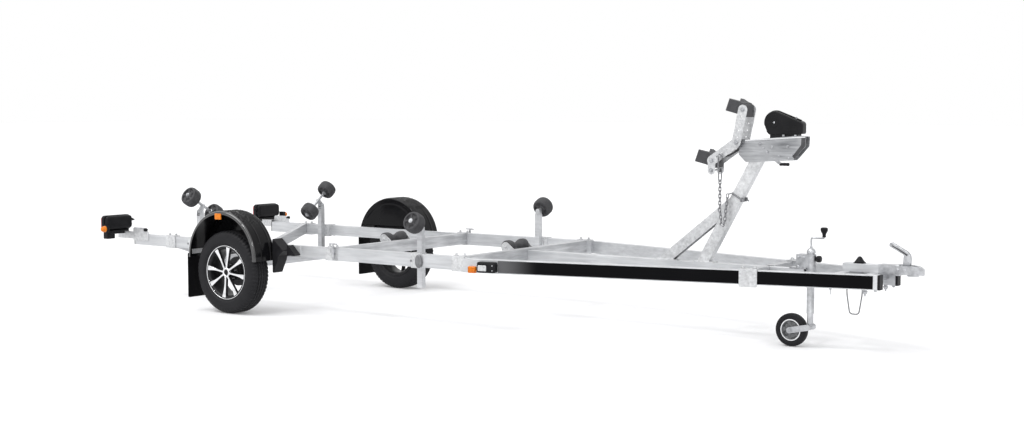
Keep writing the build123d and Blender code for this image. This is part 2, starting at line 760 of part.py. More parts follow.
brace_w = 50
brace_d = 70
brace_angle = radians(38.4)
brace_foot_x = nose_tip - 1733  # where the brace's centre line meets the keel beam's top
post_back_x = post_foot_x - post_d / 2 / sin(post_lean)      # post's rear face at the base plate
with BuildPart() as winch_brace:
    foot = Plane(
        origin=(brace_foot_x, 0, keel_top + base_t), x_dir=(sin(brace_angle), 0, -cos(brace_angle)),
        z_dir=(cos(brace_angle), 0, sin(brace_angle)),
    )
    with BuildSketch(foot.offset(-brace_d)):
        Rectangle(brace_d, brace_w)
        with Locations((wall, 0)):
            Rectangle(brace_d, brace_w - 2 * wall, mode=Mode.SUBTRACT)
    extrude(amount=(post_back_x - brace_foot_x) * 4)
    split(bisect_by=plan(keel_top + base_t), keep=Keep.TOP)
    split(
        bisect_by=Plane(
            origin=(post_back_x - clearance, 0, keel_top + base_t), x_dir=(0, 1, 0),
            z_dir=(sin(post_lean), 0, -cos(post_lean)),
        ),
        keep=Keep.BOTTOM,
    )
    with BuildSketch(plan(keel_top, brace_foot_x - 5, 0)):
        Rectangle(base_l, keel_w)
    extrude(amount=base_t)
write(winch_brace, "winch_brace")

# ---------------------------------------------------------------- winch head, its lever and cover
head_t = 3
head_half = post_w / 2 + clearance
head_y = head_half + head_t
bolt_r = 7
bow_pivot = (head_x - 124, head_z + 111)
# forwards and up from the head's place on the post: top edge first, then the nose and the underside
head_outline = ((-108, 125), (290, 157), (335, 152), (332, 92), (251, 5), (-70, -13), (-122, 36))
top_slope = (157 - 125) / (290 + 108)
with BuildPart() as winch_head:
    with BuildSketch(beside(head_y, head_x, head_z)):
        with BuildLine():
            Polyline(*head_outline, close=True)
        make_face()
    extrude(amount=2 * head_y)
    with BuildSketch(beside(head_half, head_x, head_z)):
        with BuildLine():
            Polyline(
                (-200, -60), (400, -60), (400, 153), (290, 157 - head_t - 1), (-108, 125 - head_t - 1),
                (-200, 118), close=True,
            )
        make_face()
    extrude(amount=2 * head_half, mode=Mode.SUBTRACT)
    for side in sides:
        with BuildSketch(beside(side * head_half)):
            with Locations(bow_pivot, (head_x - 94, head_z + 80)):
                Circle(22)
            make_hull()
        extrude(amount=-side * head_t)
    with BuildSketch(beside(head_y, *bow_pivot)):
        Circle(bolt_r + fit)
    extrude(amount=2 * head_y, mode=Mode.SUBTRACT)
write(winch_head, "winch_head")

cover_w = 64
cover_x, cover_z, cover_r = head_x + 121, head_z + 237, 71
with BuildPart() as winch_cover:
    with BuildSketch(beside(cover_w / 2, cover_x, cover_z)):
        Circle(cover_r)
        with BuildLine():
            Polyline((184, 4), (190, -12), (190, -69), (-35, -77), (-60, -50), close=True)
        make_face()
        make_hull()
    extrude(amount=cover_w)
    with BuildSketch(beside(head_half, head_x, head_z)):
        with BuildLine():
            Polyline(
                (90, 125 + top_slope * 198 + fit), (280, 157 - top_slope * 10 + fit), (280, 190), (90, 190),
                close=True,
            )
        make_face()
    extrude(amount=2 * head_half)
write(winch_cover, "winch_cover")

with BuildPart() as winch_lever:
    with BuildSketch(beside(6 - head_half, head_x, head_z)):
        with BuildLine():
            Polyline((100, 22), (116, 26), (170, -8), (170, -22), (158, -22), close=True)
        make_face()
    extrude(amount=6 - clearance / 5)
    with BuildSketch(across(head_x + 160, 3 - head_half, head_z - 20)):
        RectangleRounded(18, 22, 8)
    extrude(amount=64)
write(winch_lever, "winch_lever")

# ---------------------------------------------------------------- bow support
arm_y = 62.5                    # outer face of the arm plates
arm_plate = 5
arm_half = 31
hole_r = 4.5
hole_step = 44
upper_pad = (bow_pivot[0] + 43, bow_pivot[1] + 205)
lower_pad = (bow_pivot[0] - 172, bow_pivot[1] - 117)
hook_lug = (lower_pad[0] - 2, lower_pad[1] - 63)
hook_pin = (lower_pad[0] + 68, lower_pad[1] + 32)
hook_pin_r = 6
arm_hulls = (
    (bow_pivot, upper_pad, arm_half, 4), (bow_pivot, lower_pad, arm_half, 3),
    (lower_pad, hook_lug, arm_half - 5, 0),
)
with BuildPart() as bow_arms:
    for side in sides:
        for a, b, end_r, hole_count in arm_hulls:
            with BuildSketch(beside(side * arm_y)):
                with Locations(a, b):
                    Circle(end_r)
                make_hull()
            extrude(amount=side * arm_plate)
            length = sqrt((b[0] - a[0]) ** 2 + (b[1] - a[1]) ** 2)
            along = ((b[0] - a[0]) / length, (b[1] - a[1]) / length)
            spots = [
                (b[0] - along[0] * hole_step * (k + 1), b[1] - along[1] * hole_step * (k + 1))
                for k in range(hole_count)
            ]
            if spots:
                with BuildSketch(beside(side * arm_y)):
                    with Locations(*spots):
                        Circle(hole_r)
                extrude(amount=side * arm_plate, mode=Mode.SUBTRACT)
        with BuildSketch(beside(side * (arm_y - arm_plate), *bow_pivot)):
            Circle(14)
        extrude(amount=side * (arm_y - arm_plate - head_y - fit))
    for x, z in (bow_pivot, upper_pad, lower_pad, hook_lug):
        with BuildSketch(beside(arm_y + 9, x, z)):
            Circle(bolt_r)
        extrude(amount=2 * (arm_y + 9))
    with BuildSketch(beside(-arm_y, *hook_pin)):
        Circle(hook_pin_r)
    extrude(amount=24)
write(bow_arms, "bow_arms")

pad_h = 77
pad_lean = radians(20)
pad_half = arm_y - arm_plate - fit
wing_y = 100
with BuildPart() as bow_pads:
    for x, z in (upper_pad, lower_pad):
        up = Plane(
            origin=(x, 0, z), x_dir=(cos(pad_lean), 0, -sin(pad_lean)),
            z_dir=(sin(pad_lean), 0, cos(pad_lean)),
        )
        with BuildSketch(up.offset(-pad_h / 2)):
            with BuildLine():
                Polyline(
                    (-8, -pad_half), (-8, pad_half), (-34, pad_half), (-90, wing_y), (-104, wing_y - 24),
                    (-36, 0), (-104, 24 - wing_y), (-90, -wing_y), (-34, -pad_half), close=True,
                )
            make_face()
        extrude(amount=pad_h)
        with BuildSketch(beside(pad_half, x, z)):
            with BuildLine():
                Polyline((18, -47), (18, 26), (14, 31), (-14, 42), (-36, -26), close=True)
            make_face()
        extrude(amount=2 * pad_half)
        with BuildSketch(beside(wing_y, x, z)):
            Circle(bolt_r + fit)
        extrude(amount=2 * wing_y, mode=Mode.SUBTRACT)
write(bow_pads, "bow_pads")

# ---------------------------------------------------------------- safety chain
chain_y = -arm_y - 11
chain_gap = 0.1
link_count = 9
# length, width, thickness of each ring: the hook, the shackle, then the links
chain_rings = ((109, 36, 8), (88, 46, 8)) + ((36, 22, 6),) * link_count
with BuildPart() as safety_chain:
    hang_z = hook_pin[1] + hook_pin_r + fit     # top of what the next ring hangs on
    upper_hole_r, upper_t = 0, 0
    for k, (ring_l, ring_w, ring_t) in enumerate(chain_rings):
        hole_r = ring_w / 2 - ring_t
        # round ends of both rings keep their square wires apart
        rise = hole_r - sqrt(hole_r ** 2 - (upper_t / 2) ** 2)
        if upper_hole_r:
            rise += upper_hole_r - sqrt(upper_hole_r ** 2 - (ring_t / 2) ** 2) + chain_gap
        z = hang_z + rise + ring_t - ring_l / 2
        if k % 2:
            face = across(hook_pin[0] - ring_t / 2, chain_y, z)
        else:
            face = beside(chain_y + ring_t / 2, hook_pin[0], z)
        with BuildSketch(face):
            SlotOverall(ring_l, ring_w, rotation=90)
            SlotOverall(ring_l - 2 * ring_t, ring_w - 2 * ring_t, rotation=90, mode=Mode.SUBTRACT)
        extrude(amount=ring_t)
        hang_z = z - ring_l / 2 + ring_t
        upper_hole_r, upper_t = hole_r, ring_t
write(safety_chain, "safety_chain")

# ---------------------------------------------------------------- coupling
bar_front = nose_tip - 160
bar_w = 60
bar_h = 50
bar_wall = 4
bar_top = bar_low + bar_h
sleeve_back = carrier_x[1] + carrier_w / 2 + clearance
sleeve_t = 4
ball_r = 25
ball_depth = 38
ball_x = nose_tip - 65
head_w = 72
with BuildPart() as draw_bar:
    with BuildSketch(across(bar_back, 0, bar_low + bar_h / 2)):
        tube(bar_w, bar_h, bar_wall)
    extrude(amount=bar_front - bar_back)
write(draw_bar, "draw_bar")

with BuildPart() as coupling_head:
    with BuildSketch(across(sleeve_back, 0, bar_low + bar_h / 2)):
        Rectangle(bar_w + 2 * sleeve_t, bar_h + 2 * sleeve_t)
        Rectangle(bar_w + 2 * fit, bar_h + 2 * fit, mode=Mode.SUBTRACT)
    extrude(amount=bar_front - sleeve_back)
    with BuildSketch(across(bar_front + fit, 0, bar_low + bar_h / 2)):
        RectangleRounded(bar_w + 4 * sleeve_t, bar_h + 4 * sleeve_t, 10)
    extrude(amount=20)
    with BuildSketch(across(bar_front, 0, bar_low + bar_h / 2)):
        Rectangle(bar_w + 2 * sleeve_t, bar_h + 2 * sleeve_t)
        Rectangle(bar_w - 2, bar_h - 2, mode=Mode.SUBTRACT)
    extrude(amount=fit)
    with BuildSketch(plan(bar_low)):
        with BuildLine():
            Polyline(
                (bar_front + 20, head_w / 2), (ball_x + 20, head_w / 2), (nose_tip, 14), (nose_tip, -14),
                (ball_x + 20, -head_w / 2), (bar_front + 20, -head_w / 2), close=True,
            )
        make_face()
    extrude(amount=bar_h + 4)
    with BuildSketch(beside(head_w / 2)):
        with BuildLine():
            Polyline(
                (ball_x, bar_top + 5), (ball_x + 40, bar_top), (nose_tip, bar_low + 36),
                (nose_tip + 20, bar_low + 36),
                (nose_tip + 20, bar_top + 20), (ball_x, bar_top + 20), close=True,
            )
        make_face()
    extrude(amount=head_w, mode=Mode.SUBTRACT)
    with BuildSketch(plan(bar_low, ball_x)):
        Circle(ball_r)
    extrude(amount=ball_depth, mode=Mode.SUBTRACT)
write(coupling_head, "coupling_head")

handle_w = 26
with BuildPart() as coupling_handle:
    with BuildSketch(beside(handle_w / 2, ball_x, bar_top)):
        with BuildLine():
            Polyline(
                (-62, 4 + fit), (-16, 4 + fit), (-12, 38), (-18, 68), (-36, 88), (-80, 112), (-130, 140),
                (-146, 134), (-150, 114), (-78, 74), (-62, 66), close=True,
            )
        make_face()
    extrude(amount=handle_w)
write(coupling_handle, "coupling_handle")

# ---------------------------------------------------------------- jockey wheel
jockey_leg_r = 19
jockey_wheel_r = 104
jockey_wheel_w = 60
jockey_trail = 122
leg_low = 150
jockey_leg_l = 330
jockey_tube_low = 215
jockey_tube_high = 590
dome_h = 30
crank_r = 6
crank_z = 683
crank_l = 84
with BuildPart() as jockey_tube:
    with BuildSketch(plan(jockey_tube_low, jockey_x)):
        Circle(jockey_tube_r)
        Circle(jockey_leg_r + fit, mode=Mode.SUBTRACT)
    extrude(amount=jockey_tube_high - jockey_tube_low)
    with BuildSketch(plan(jockey_tube_high, jockey_x)):
        Circle(jockey_tube_r + 4)
    extrude(amount=dome_h, taper=30)
    with BuildSketch(plan(jockey_tube_high + dome_h, jockey_x)):
        Circle(crank_r)
    extrude(amount=crank_z + crank_r - jockey_tube_high - dome_h)
    with BuildSketch(across(jockey_x, 0, crank_z)):
        Circle(crank_r)
    extrude(amount=crank_l)
write(jockey_tube, "jockey_tube")

clamp_w = 70
clamp_low = keel_top + 38
clamp_high = keel_top + 90
screw_r = 21
screw_l = 34
with BuildPart() as crank_knob:
    with BuildSketch(plan(crank_z + crank_r, jockey_x + crank_l)):
        Circle(14)
    extrude(amount=28)
    with BuildSketch(plan(crank_z + crank_r + 28, jockey_x + crank_l)):
        Circle(23)
    extrude(amount=33)
    with BuildSketch(across(jockey_x + jockey_tube_r + 9, 0, (clamp_low + clamp_high) / 2)):
        RegularPolygon(screw_r, 12)
    extrude(amount=screw_l)
write(crank_knob, "crank_knob")

with BuildPart() as jockey_clamp:
    with BuildSketch(plan(keel_top, keel_front - 40)):
        Rectangle(110, keel_w + 10)
    extrude(amount=8)
    with BuildSketch(plan(keel_top + 8, jockey_x - 42)):
        Rectangle(84, clamp_w)
    extrude(amount=clamp_high - keel_top - 8)
    with BuildSketch(plan(keel_top - keel_h, jockey_x)):
        Circle(jockey_tube_r + 9)
    extrude(amount=clamp_high - keel_top + keel_h)
    with BuildSketch(plan(keel_top - keel_h, jockey_x)):
        Circle(jockey_tube_r + fit)
    extrude(amount=clamp_high - keel_top + keel_h, mode=Mode.SUBTRACT)
    with BuildSketch(plan(keel_top - keel_h, keel_front - 100)):
        Rectangle(200, keel_w + 1)
    extrude(amount=keel_h, mode=Mode.SUBTRACT)
write(jockey_clamp, "jockey_clamp")

with BuildPart() as jockey_leg:
    with BuildSketch(plan(leg_low, jockey_x)):
        Circle(jockey_leg_r)
        Circle(jockey_leg_r - wall, mode=Mode.SUBTRACT)
    extrude(amount=jockey_leg_l)
    with BuildSketch(plan(leg_low, jockey_x)):
        Circle(jockey_leg_r)
    extrude(amount=12)
write(jockey_leg, "jockey_leg")

hub_x = jockey_x - jockey_trail
fork_y = jockey_wheel_w / 2 + 6
crown_h = 10
with BuildPart() as jockey_fork:
    with BuildSketch(plan(leg_low - fit - crown_h, jockey_x)):
        Circle(jockey_leg_r + 3)
    extrude(amount=crown_h)
    for side in sides:
        with BuildSketch(beside(side * fork_y, jockey_x, leg_low - 20)):
            with Locations((-jockey_trail, jockey_wheel_r - leg_low + 20), (0, 0)):
                Circle(19)
            make_hull()
        extrude(amount=-side * plate_t)
    with BuildSketch(plan(leg_low - 31, jockey_x + 4)):
        Rectangle(32, 2 * (fork_y + plate_t))
    extrude(amount=20)
    with BuildSketch(beside(fork_y + 12, hub_x, jockey_wheel_r)):
        Circle(pin_r)
    extrude(amount=2 * (fork_y + 12))
write(jockey_fork, "jockey_fork")

jockey_axis = Axis((hub_x, 0, jockey_wheel_r), (0, 1, 0))
jockey_half = Plane(origin=(hub_x, 0, jockey_wheel_r), x_dir=(0, 1, 0), z_dir=(1, 0, 0))
jockey_rim_r = jockey_wheel_r - 36
with BuildPart() as jockey_tyre:
    half = jockey_wheel_w / 2
    # distance from the middle, radius
    flank = (
        (half - 6, jockey_rim_r), (half, jockey_wheel_r - 20), (half - 8, jockey_wheel_r - 5),
        (half - 20, jockey_wheel_r),
    )
    with BuildSketch(jockey_half):
        with BuildLine():
            Polyline(*flank, *[(-out, radius) for out, radius in reversed(flank)], close=True)
        make_face()
    revolve(axis=jockey_axis)
write(jockey_tyre, "jockey_tyre")

with BuildPart() as jockey_rim:
    with BuildSketch(jockey_half):
        with BuildLine():
            half = jockey_wheel_w / 2
            flank = (
                (half + 3, pin_r + fit), (half + 3, 22), (6, 22), (6, jockey_rim_r - 14),
                (half - 8, jockey_rim_r - 8), (half - 8, jockey_rim_r - fit),
            )
            Polyline(*flank, *[(-out, radius) for out, radius in reversed(flank)], close=True)
        make_face()
    revolve(axis=jockey_axis)
write(jockey_rim, "jockey_rim")

# ---------------------------------------------------------------- plug holder and cable stirrup
plug_x = bar_back + 98
with BuildPart() as plug_holder:
    with BuildSketch(plan(bar_top, plug_x)):
        RectangleRounded(62, 58, 8)
    extrude(amount=8)
    with BuildSketch(plan(bar_top + 8, plug_x)):
        Circle(32)
    extrude(amount=34, taper=30)
write(plug_holder, "plug_holder")

wire_r = 4
stirrup_x = bar_back + 68
stirrup_z = bar_low - carrier_w
stirrup_l = 212
stirrup_plate_t = 6
hoop_top = -stirrup_plate_t
hoop_knee = -90
hoop_r = 18
with BuildPart() as cable_stirrup:
    with BuildSketch(beside(wire_r, stirrup_x, stirrup_z)):
        for grow, mode in ((wire_r, Mode.ADD), (-wire_r, Mode.SUBTRACT)):
            with BuildSketch(mode=Mode.PRIVATE) as loop:
                with BuildLine():
                    Polyline(
                        (-49 - grow, hoop_top), (-49 - grow, hoop_knee), (-29 - grow, -stirrup_l - grow),
                        (29 + grow, -stirrup_l - grow), (49 + grow, hoop_knee), (49 + grow, hoop_top),
                        close=True,
                    )
                make_face()
                fillet(loop.vertices().sort_by(Axis.Y)[:2], hoop_r + grow)
            add(loop.sketch, mode=mode)
    extrude(amount=2 * wire_r)
    with BuildSketch(beside(30, (carrier_x[0] + carrier_x[1]) / 2, stirrup_z - stirrup_plate_t / 2)):
        Rectangle(carrier_x[1] - carrier_x[0] + carrier_w, stirrup_plate_t)
    extrude(amount=60)
write(cable_stirrup, "cable_stirrup")

# ---------------------------------------------------------------- wheel chock
chock_w = 95
with BuildPart() as wheel_chock:
    with BuildSketch(beside(-holder_y - plate_t - fit, chock_front)):
        with BuildLine():
            Polyline(
                (0, 466), (-45, 428), (-54, 395), (8 - chock_l, 302), (-chock_l, 312), (-chock_l, 540),
                (8 - chock_l, 548), close=True,
            )
        make_face()
    extrude(amount=chock_w)
write(wheel_chock, "wheel_chock")
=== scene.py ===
import json
import math

import bmesh
import bpy
import numpy as np
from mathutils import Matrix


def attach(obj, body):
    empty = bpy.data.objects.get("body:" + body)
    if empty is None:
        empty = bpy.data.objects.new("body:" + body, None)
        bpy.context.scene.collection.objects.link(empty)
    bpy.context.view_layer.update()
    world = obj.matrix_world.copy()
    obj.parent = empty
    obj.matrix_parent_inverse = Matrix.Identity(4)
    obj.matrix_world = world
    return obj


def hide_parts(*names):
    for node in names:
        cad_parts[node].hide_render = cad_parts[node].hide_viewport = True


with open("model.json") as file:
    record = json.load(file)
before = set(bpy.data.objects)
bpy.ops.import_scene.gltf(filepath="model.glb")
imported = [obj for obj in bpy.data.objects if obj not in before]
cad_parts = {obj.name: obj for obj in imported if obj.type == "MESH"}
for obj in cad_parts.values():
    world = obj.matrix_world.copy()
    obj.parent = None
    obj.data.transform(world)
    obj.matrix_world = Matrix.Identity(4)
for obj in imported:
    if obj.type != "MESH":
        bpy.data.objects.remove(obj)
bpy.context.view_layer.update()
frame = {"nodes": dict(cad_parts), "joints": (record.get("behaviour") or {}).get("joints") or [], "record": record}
nodes = frame["nodes"]
bodyOfNode = {node: body for body, held in frame["record"]["behaviour"]["bodies"].items() for node in held}
jointAxis = {joint["name"]: np.array(joint["axis"]) for joint in frame["joints"]}
jointAt = {joint["name"]: np.array(joint.get("pos_m", (0, 0, 0))) for joint in frame["joints"]}
# every place below counts forwards from the axle, left from the middle and up from the ground
axle = jointAt["wheel_right_spin"] * (1, 0, 0)
jointAt = {name: place - axle for name, place in jointAt.items()}
ways = (-1, 1)
sides = (("Right", -1), ("Left", 1))
print("frame loaded:", len(nodes), "nodes")


# camera and studio

cameraLook = {"place": (8.075, -8.727, 1.5046), "down": 4.3967, "turn": 35.7271, "lens": 54.191, "reach": 300}
cameraData = bpy.data.cameras.new("viewCamera")
cameraData.lens = cameraLook["lens"]
cameraData.clip_end = cameraLook["reach"]
camera = bpy.data.objects.new("viewCamera", cameraData)
bpy.context.scene.collection.objects.link(camera)
camera.location = axle + cameraLook["place"]
camera.rotation_euler = (math.radians(90 - cameraLook["down"]), 0, math.radians(cameraLook["turn"]))
bpy.context.scene.camera = camera
bpy.context.scene.view_settings.view_transform = "Standard"

studio = {
    "skyLight": 0.62,           # light of the sky on the trailer
    "floorColour": (0.8, 0.8, 0.81), "floorRough": 0.9, "floorShine": 0.1, "floorHalf": 90,
    "floorLift": 0.13,          # added for the eye only, so that the floor turns white round the shadow
    # name, strength, size, height and heading in degrees
    "lamps": (("keyLamp", 1.25, 38, 58, -35), ("sideLamp", 0.55, 50, 30, 20), ("topLamp", 0.45, 60, 86, 120),
        ("edgeLamp", 0.45, 6, 52, 8), ("sparkLamp", 0.35, 5, 28, 62)),
}


def madeNode(tree, kind, inputs, operation=None):
    # a shader node; each of its inputs is a number, a colour or the output that feeds it
    made = tree.nodes.new("ShaderNode" + kind)
    if operation:
        made.operation = operation
    for key, value in inputs.items():
        if isinstance(value, bpy.types.NodeSocket):
            tree.links.new(value, made.inputs[key])
        else:
            made.inputs[key].default_value = value
    return made


def seenDirectly(tree):
    # 1 for rays that the eye sees or that a surface mirrors or lets through, else 0
    paths = madeNode(tree, "LightPath", {}).outputs
    mirrored = madeNode(tree, "Math", {0: paths["Is Camera Ray"], 1: paths["Is Glossy Ray"]}, "MAXIMUM")
    through = {0: mirrored.outputs[0], 1: paths["Is Transmission Ray"]}
    return madeNode(tree, "Math", through, "MAXIMUM").outputs[0]


world = bpy.data.worlds.new("studioSky")
bpy.context.scene.world = world
world.use_nodes = True
sky = world.node_tree
background = sky.nodes["Background"]
background.inputs["Color"].default_value = (1, 1, 1, 1)
skyMix = madeNode(sky, "MapRange", {"Value": seenDirectly(sky), "To Min": studio["skyLight"], "To Max": 1.0})
sky.links.new(skyMix.outputs["Result"], background.inputs["Strength"])

for name, strength, size, height, heading in studio["lamps"]:
    lampData = bpy.data.lights.new(name, "SUN")
    lampData.energy = strength
    lampData.angle = math.radians(size)
    light = bpy.data.objects.new(name, lampData)
    light.rotation_euler = (math.radians(90 - height), 0, math.radians(heading))
    bpy.context.scene.collection.objects.link(light)

half = studio["floorHalf"]
floorMesh = bpy.data.meshes.new("studioFloor")
floorMesh.from_pydata([(-half, -half, 0), (half, -half, 0), (half, half, 0), (-half, half, 0)], [], [(0, 1, 2, 3)])
floor = bpy.data.objects.new("studioFloor", floorMesh)
bpy.context.scene.collection.objects.link(floor)
floorPaint = bpy.data.materials.new("floorPaint")
floorPaint.use_nodes = True
tree = floorPaint.node_tree
paint = tree.nodes["Principled BSDF"]
paint.inputs["Base Color"].default_value = (*studio["floorColour"], 1)
paint.inputs["Roughness"].default_value = studio["floorRough"]
paint.inputs["Specular IOR Level"].default_value = studio["floorShine"]
paint.inputs["Emission Color"].default_value = (1, 1, 1, 1)
lift = madeNode(tree, "Math", {0: seenDirectly(tree), 1: studio["floorLift"]}, "MULTIPLY")
tree.links.new(lift.outputs[0], paint.inputs["Emission Strength"])
floorMesh.materials.append(floorPaint)
print("studio ready")


# finishes: the slot, the dark and the light end of the colour, the range of roughness, how far it is metal,
# patches per metre, height of the bumps in millimetres, bumps per metre, and what differs from the usual look

finishes = {
    "drawnAluminium": ("galvanised", (0.42, 0.43, 0.445), (0.7, 0.71, 0.725), (0.36, 0.52), 0.72, 9, 0.1, 160,
        {"stretch": (0.5, 6, 6)}),
    "crossAluminium": ("galvanised", (0.27, 0.275, 0.29), (0.74, 0.75, 0.765), (0.38, 0.54), 0.72, 9, 0.1, 160,
        {"stretch": (6, 0.5, 6)}),
    "galvanised": ("galvanised", (0.36, 0.365, 0.375), (0.8, 0.81, 0.82), (0.34, 0.56), 0.68, 60, 0.12, 220, {}),
    "brushedPlate": ("galvanised", (0.15, 0.155, 0.165), (0.6, 0.61, 0.625), (0.32, 0.5), 0.8, 14, 0.06, 260,
        {"stretch": (0.4, 5, 5)}),
    "zincSteel": ("zinc_steel", (0.2, 0.205, 0.215), (0.66, 0.67, 0.69), (0.26, 0.44), 0.9, 30, 0.05, 300, {}),
    "polishedAlloy": ("alloy", (0.7, 0.71, 0.72), (0.9, 0.9, 0.91), (0.1, 0.2), 1.0, 25, 0.01, 300, {}),
    "rimPaint": ("alloy", (0.01, 0.01, 0.011), (0.024, 0.024, 0.026), (0.28, 0.42), 0.0, 30, 0.02, 400,
        {"coat": 0.1, "shine": 0.12}),
    "drumIron": ("zinc_steel", (0.035, 0.036, 0.038), (0.1, 0.1, 0.105), (0.5, 0.72), 0.5, 40, 0.25, 260, {}),
    "tyreRubber": ("tyre_rubber", (0.009, 0.009, 0.0105), (0.019, 0.019, 0.021), (0.46, 0.62), 0.0, 12, 0.12, 420,
        {"shine": 0.15}),
    "rollerRubber": ("roller_rubber", (0.022, 0.022, 0.024), (0.085, 0.085, 0.09), (0.5, 0.68), 0.0, 22, 0.16, 380,
        {"shine": 0.3}),
    "padRubber": ("roller_rubber", (0.045, 0.045, 0.048), (0.085, 0.085, 0.09), (0.6, 0.78), 0.0, 22, 0.25, 420,
        {"shine": 0.3}),
    "flapRubber": ("flap_rubber", (0.003, 0.003, 0.0035), (0.007, 0.007, 0.008), (0.42, 0.58), 0.0, 10, 0.15, 300,
        {"shine": 0.05}),
    "mouldedBlack": ("black_plastic", (0.006, 0.006, 0.007), (0.016, 0.016, 0.018), (0.34, 0.5), 0.0, 18, 0.14, 420,
        {"shine": 0.12}),
    "fenderBlack": ("black_plastic", (0.003, 0.003, 0.0035), (0.006, 0.006, 0.007), (0.12, 0.2), 0.0, 9, 0.1, 200,
        {"coat": 0.12, "shine": 0.09}),
    "edgeGloss": ("black_plastic", (0.004, 0.004, 0.0045), (0.008, 0.008, 0.009), (0.16, 0.24), 0.0, 9, 0.03, 200,
        {"coat": 0.7, "shine": 0.8}),
    "satinBlack": ("black_plastic", (0.005, 0.005, 0.006), (0.012, 0.012, 0.013), (0.26, 0.38), 0.0, 14, 0.06, 360,
        {"shine": 0.16}),
    "rimGrey": ("alloy", (0.1, 0.102, 0.106), (0.24, 0.245, 0.25), (0.4, 0.55), 0.5, 30, 0.05, 300, {}),
    "chainSteel": ("zinc_steel", (0.05, 0.05, 0.055), (0.38, 0.385, 0.4), (0.26, 0.42), 0.9, 55, 0.05, 300, {}),
    "bumperGrey": ("black_plastic", (0.09, 0.092, 0.097), (0.26, 0.265, 0.275), (0.3, 0.5), 0.2, 40, 0.05, 300, {}),
    # the gloss trim's colour carries a painted reflection, paler towards the rear end of the strip
    "glossTrim": ("black_plastic", (0.002, 0.002, 0.0025), (0.004, 0.004, 0.005), (0.07, 0.13), 0.0, 4, 0.01, 60,
        {"coat": 0.04, "shine": 0.03, "fade": (2.225, 2.5)}),
    "amberLens": ("amber_lens", (0.42, 0.06, 0.002), (1.0, 0.34, 0.012), (0.1, 0.2), 0.0, 140, 0.25, 150,
        {"coat": 0.25, "shine": 0.2}),
    "redLens": ("red_lens", (0.32, 0.006, 0.005), (0.62, 0.02, 0.015), (0.1, 0.2), 0.0, 60, 0.25, 150,
        {"coat": 0.3, "shine": 0.2}),
    "clearLens": ("clear_lens", (0.35, 0.355, 0.36), (0.85, 0.86, 0.87), (0.05, 0.12), 0.15, 60, 0.15, 150,
        {"coat": 1.0}),
    "webbing": ("black_plastic", (0.012, 0.012, 0.014), (0.04, 0.04, 0.043), (0.65, 0.85), 0.0, 900, 0.5, 700,
        {"shine": 0.2}),
}


def makeFinish(name, dark, light, rough, metal, scale, bump, grain, stretch=(1, 1, 1), coat=0.0, shine=0.5, fade=None):
    # colour and roughness follow 0.6 of a fine and 0.4 of a broad noise, the bumps follow the grain
    material = bpy.data.materials.new(name)
    material.use_nodes = True
    tree = material.node_tree
    shader = tree.nodes["Principled BSDF"]
    for key, value in (("Metallic", metal), ("Specular IOR Level", shine), ("Coat Weight", coat),
            ("Coat Roughness", 0.06)):
        shader.inputs[key].default_value = value
    coords = madeNode(tree, "TexCoord", {}).outputs["Object"]
    drawn = madeNode(tree, "Mapping", {"Scale": stretch, "Vector": coords}).outputs["Vector"]
    patches = madeNode(tree, "TexNoise", {"Scale": scale, "Detail": 5, "Roughness": 0.6, "Vector": drawn})
    broad = madeNode(tree, "TexNoise", {"Scale": 3.5, "Detail": 3, "Vector": coords})
    share = madeNode(tree, "Math", {0: broad.outputs["Fac"], 1: 0.4}, "MULTIPLY")
    blend = madeNode(tree, "Math", {0: patches.outputs["Fac"], 1: 0.6, 2: share.outputs[0]},
        "MULTIPLY_ADD").outputs[0]
    ramp = madeNode(tree, "ValToRGB", {"Fac": blend})
    for stop, place, shade in zip(ramp.color_ramp.elements, (0.28, 0.72), (dark, light)):
        stop.position, stop.color = place, (*shade, 1)
    colour = ramp.outputs["Color"]
    if fade:
        # painted reflection: a pale sheen painted into the base colour, which dies away forwards between two places
        # along the trailer
        split = madeNode(tree, "SeparateXYZ", {0: coords})
        paintedSheen = madeNode(tree, "MapRange", {"From Min": axle[0] + fade[0], "To Min": 0.22,
            "From Max": axle[0] + fade[1], "To Max": 0.0,
            "Value": split.outputs["X"]})
        paintedSheen.interpolation_type = "SMOOTHSTEP"
        mixed = tree.nodes.new("ShaderNodeMix")
        mixed.data_type = "RGBA"
        tree.links.new(paintedSheen.outputs["Result"], mixed.inputs["Factor"])
        tree.links.new(colour, mixed.inputs["A"])
        mixed.inputs["B"].default_value = (0.5, 0.5, 0.52, 1)
        colour = mixed.outputs["Result"]
    tree.links.new(colour, shader.inputs["Base Color"])
    fine = madeNode(tree, "TexNoise", {"Scale": grain, "Detail": 2, "Vector": drawn})
    dull = madeNode(tree, "MapRange", {"From Min": 0.3, "From Max": 0.7, "To Min": rough[0],
        "To Max": rough[1], "Value": blend})
    tree.links.new(dull.outputs["Result"], shader.inputs["Roughness"])
    relief = madeNode(tree, "Bump", {"Strength": 0.6, "Distance": bump / 1000, "Height": fine.outputs["Fac"]})
    tree.links.new(relief.outputs["Normal"], shader.inputs["Normal"])
    return material


materials = {name: makeFinish(name, *look[1:-1], **look[-1]) for name, look in finishes.items()}
print("finishes made:", len(materials))


# shapes

def unit(vector):
    vector = np.asarray(vector, float)
    return vector / np.linalg.norm(vector, axis=-1, keepdims=True)


def gridFaces(rows, cols, closeRows=False, closeCols=False, caps=False):
    # a quad between each two neighbouring rows and columns; the caps close the first and last row
    r, c = np.meshgrid(
        np.arange(rows if closeRows else rows - 1), np.arange(cols if closeCols else cols - 1), indexing="ij")
    rNext, cNext = (r + 1) % rows, (c + 1) % cols
    quads = np.stack([r * cols + c, r * cols + cNext, rNext * cols + cNext, rNext * cols + c], -1)
    faces = quads.reshape(-1, 4).tolist()
    if caps:
        faces += [np.arange(cols)[::-1].tolist(), (np.arange(cols) + (rows - 1) * cols).tolist()]
    return faces


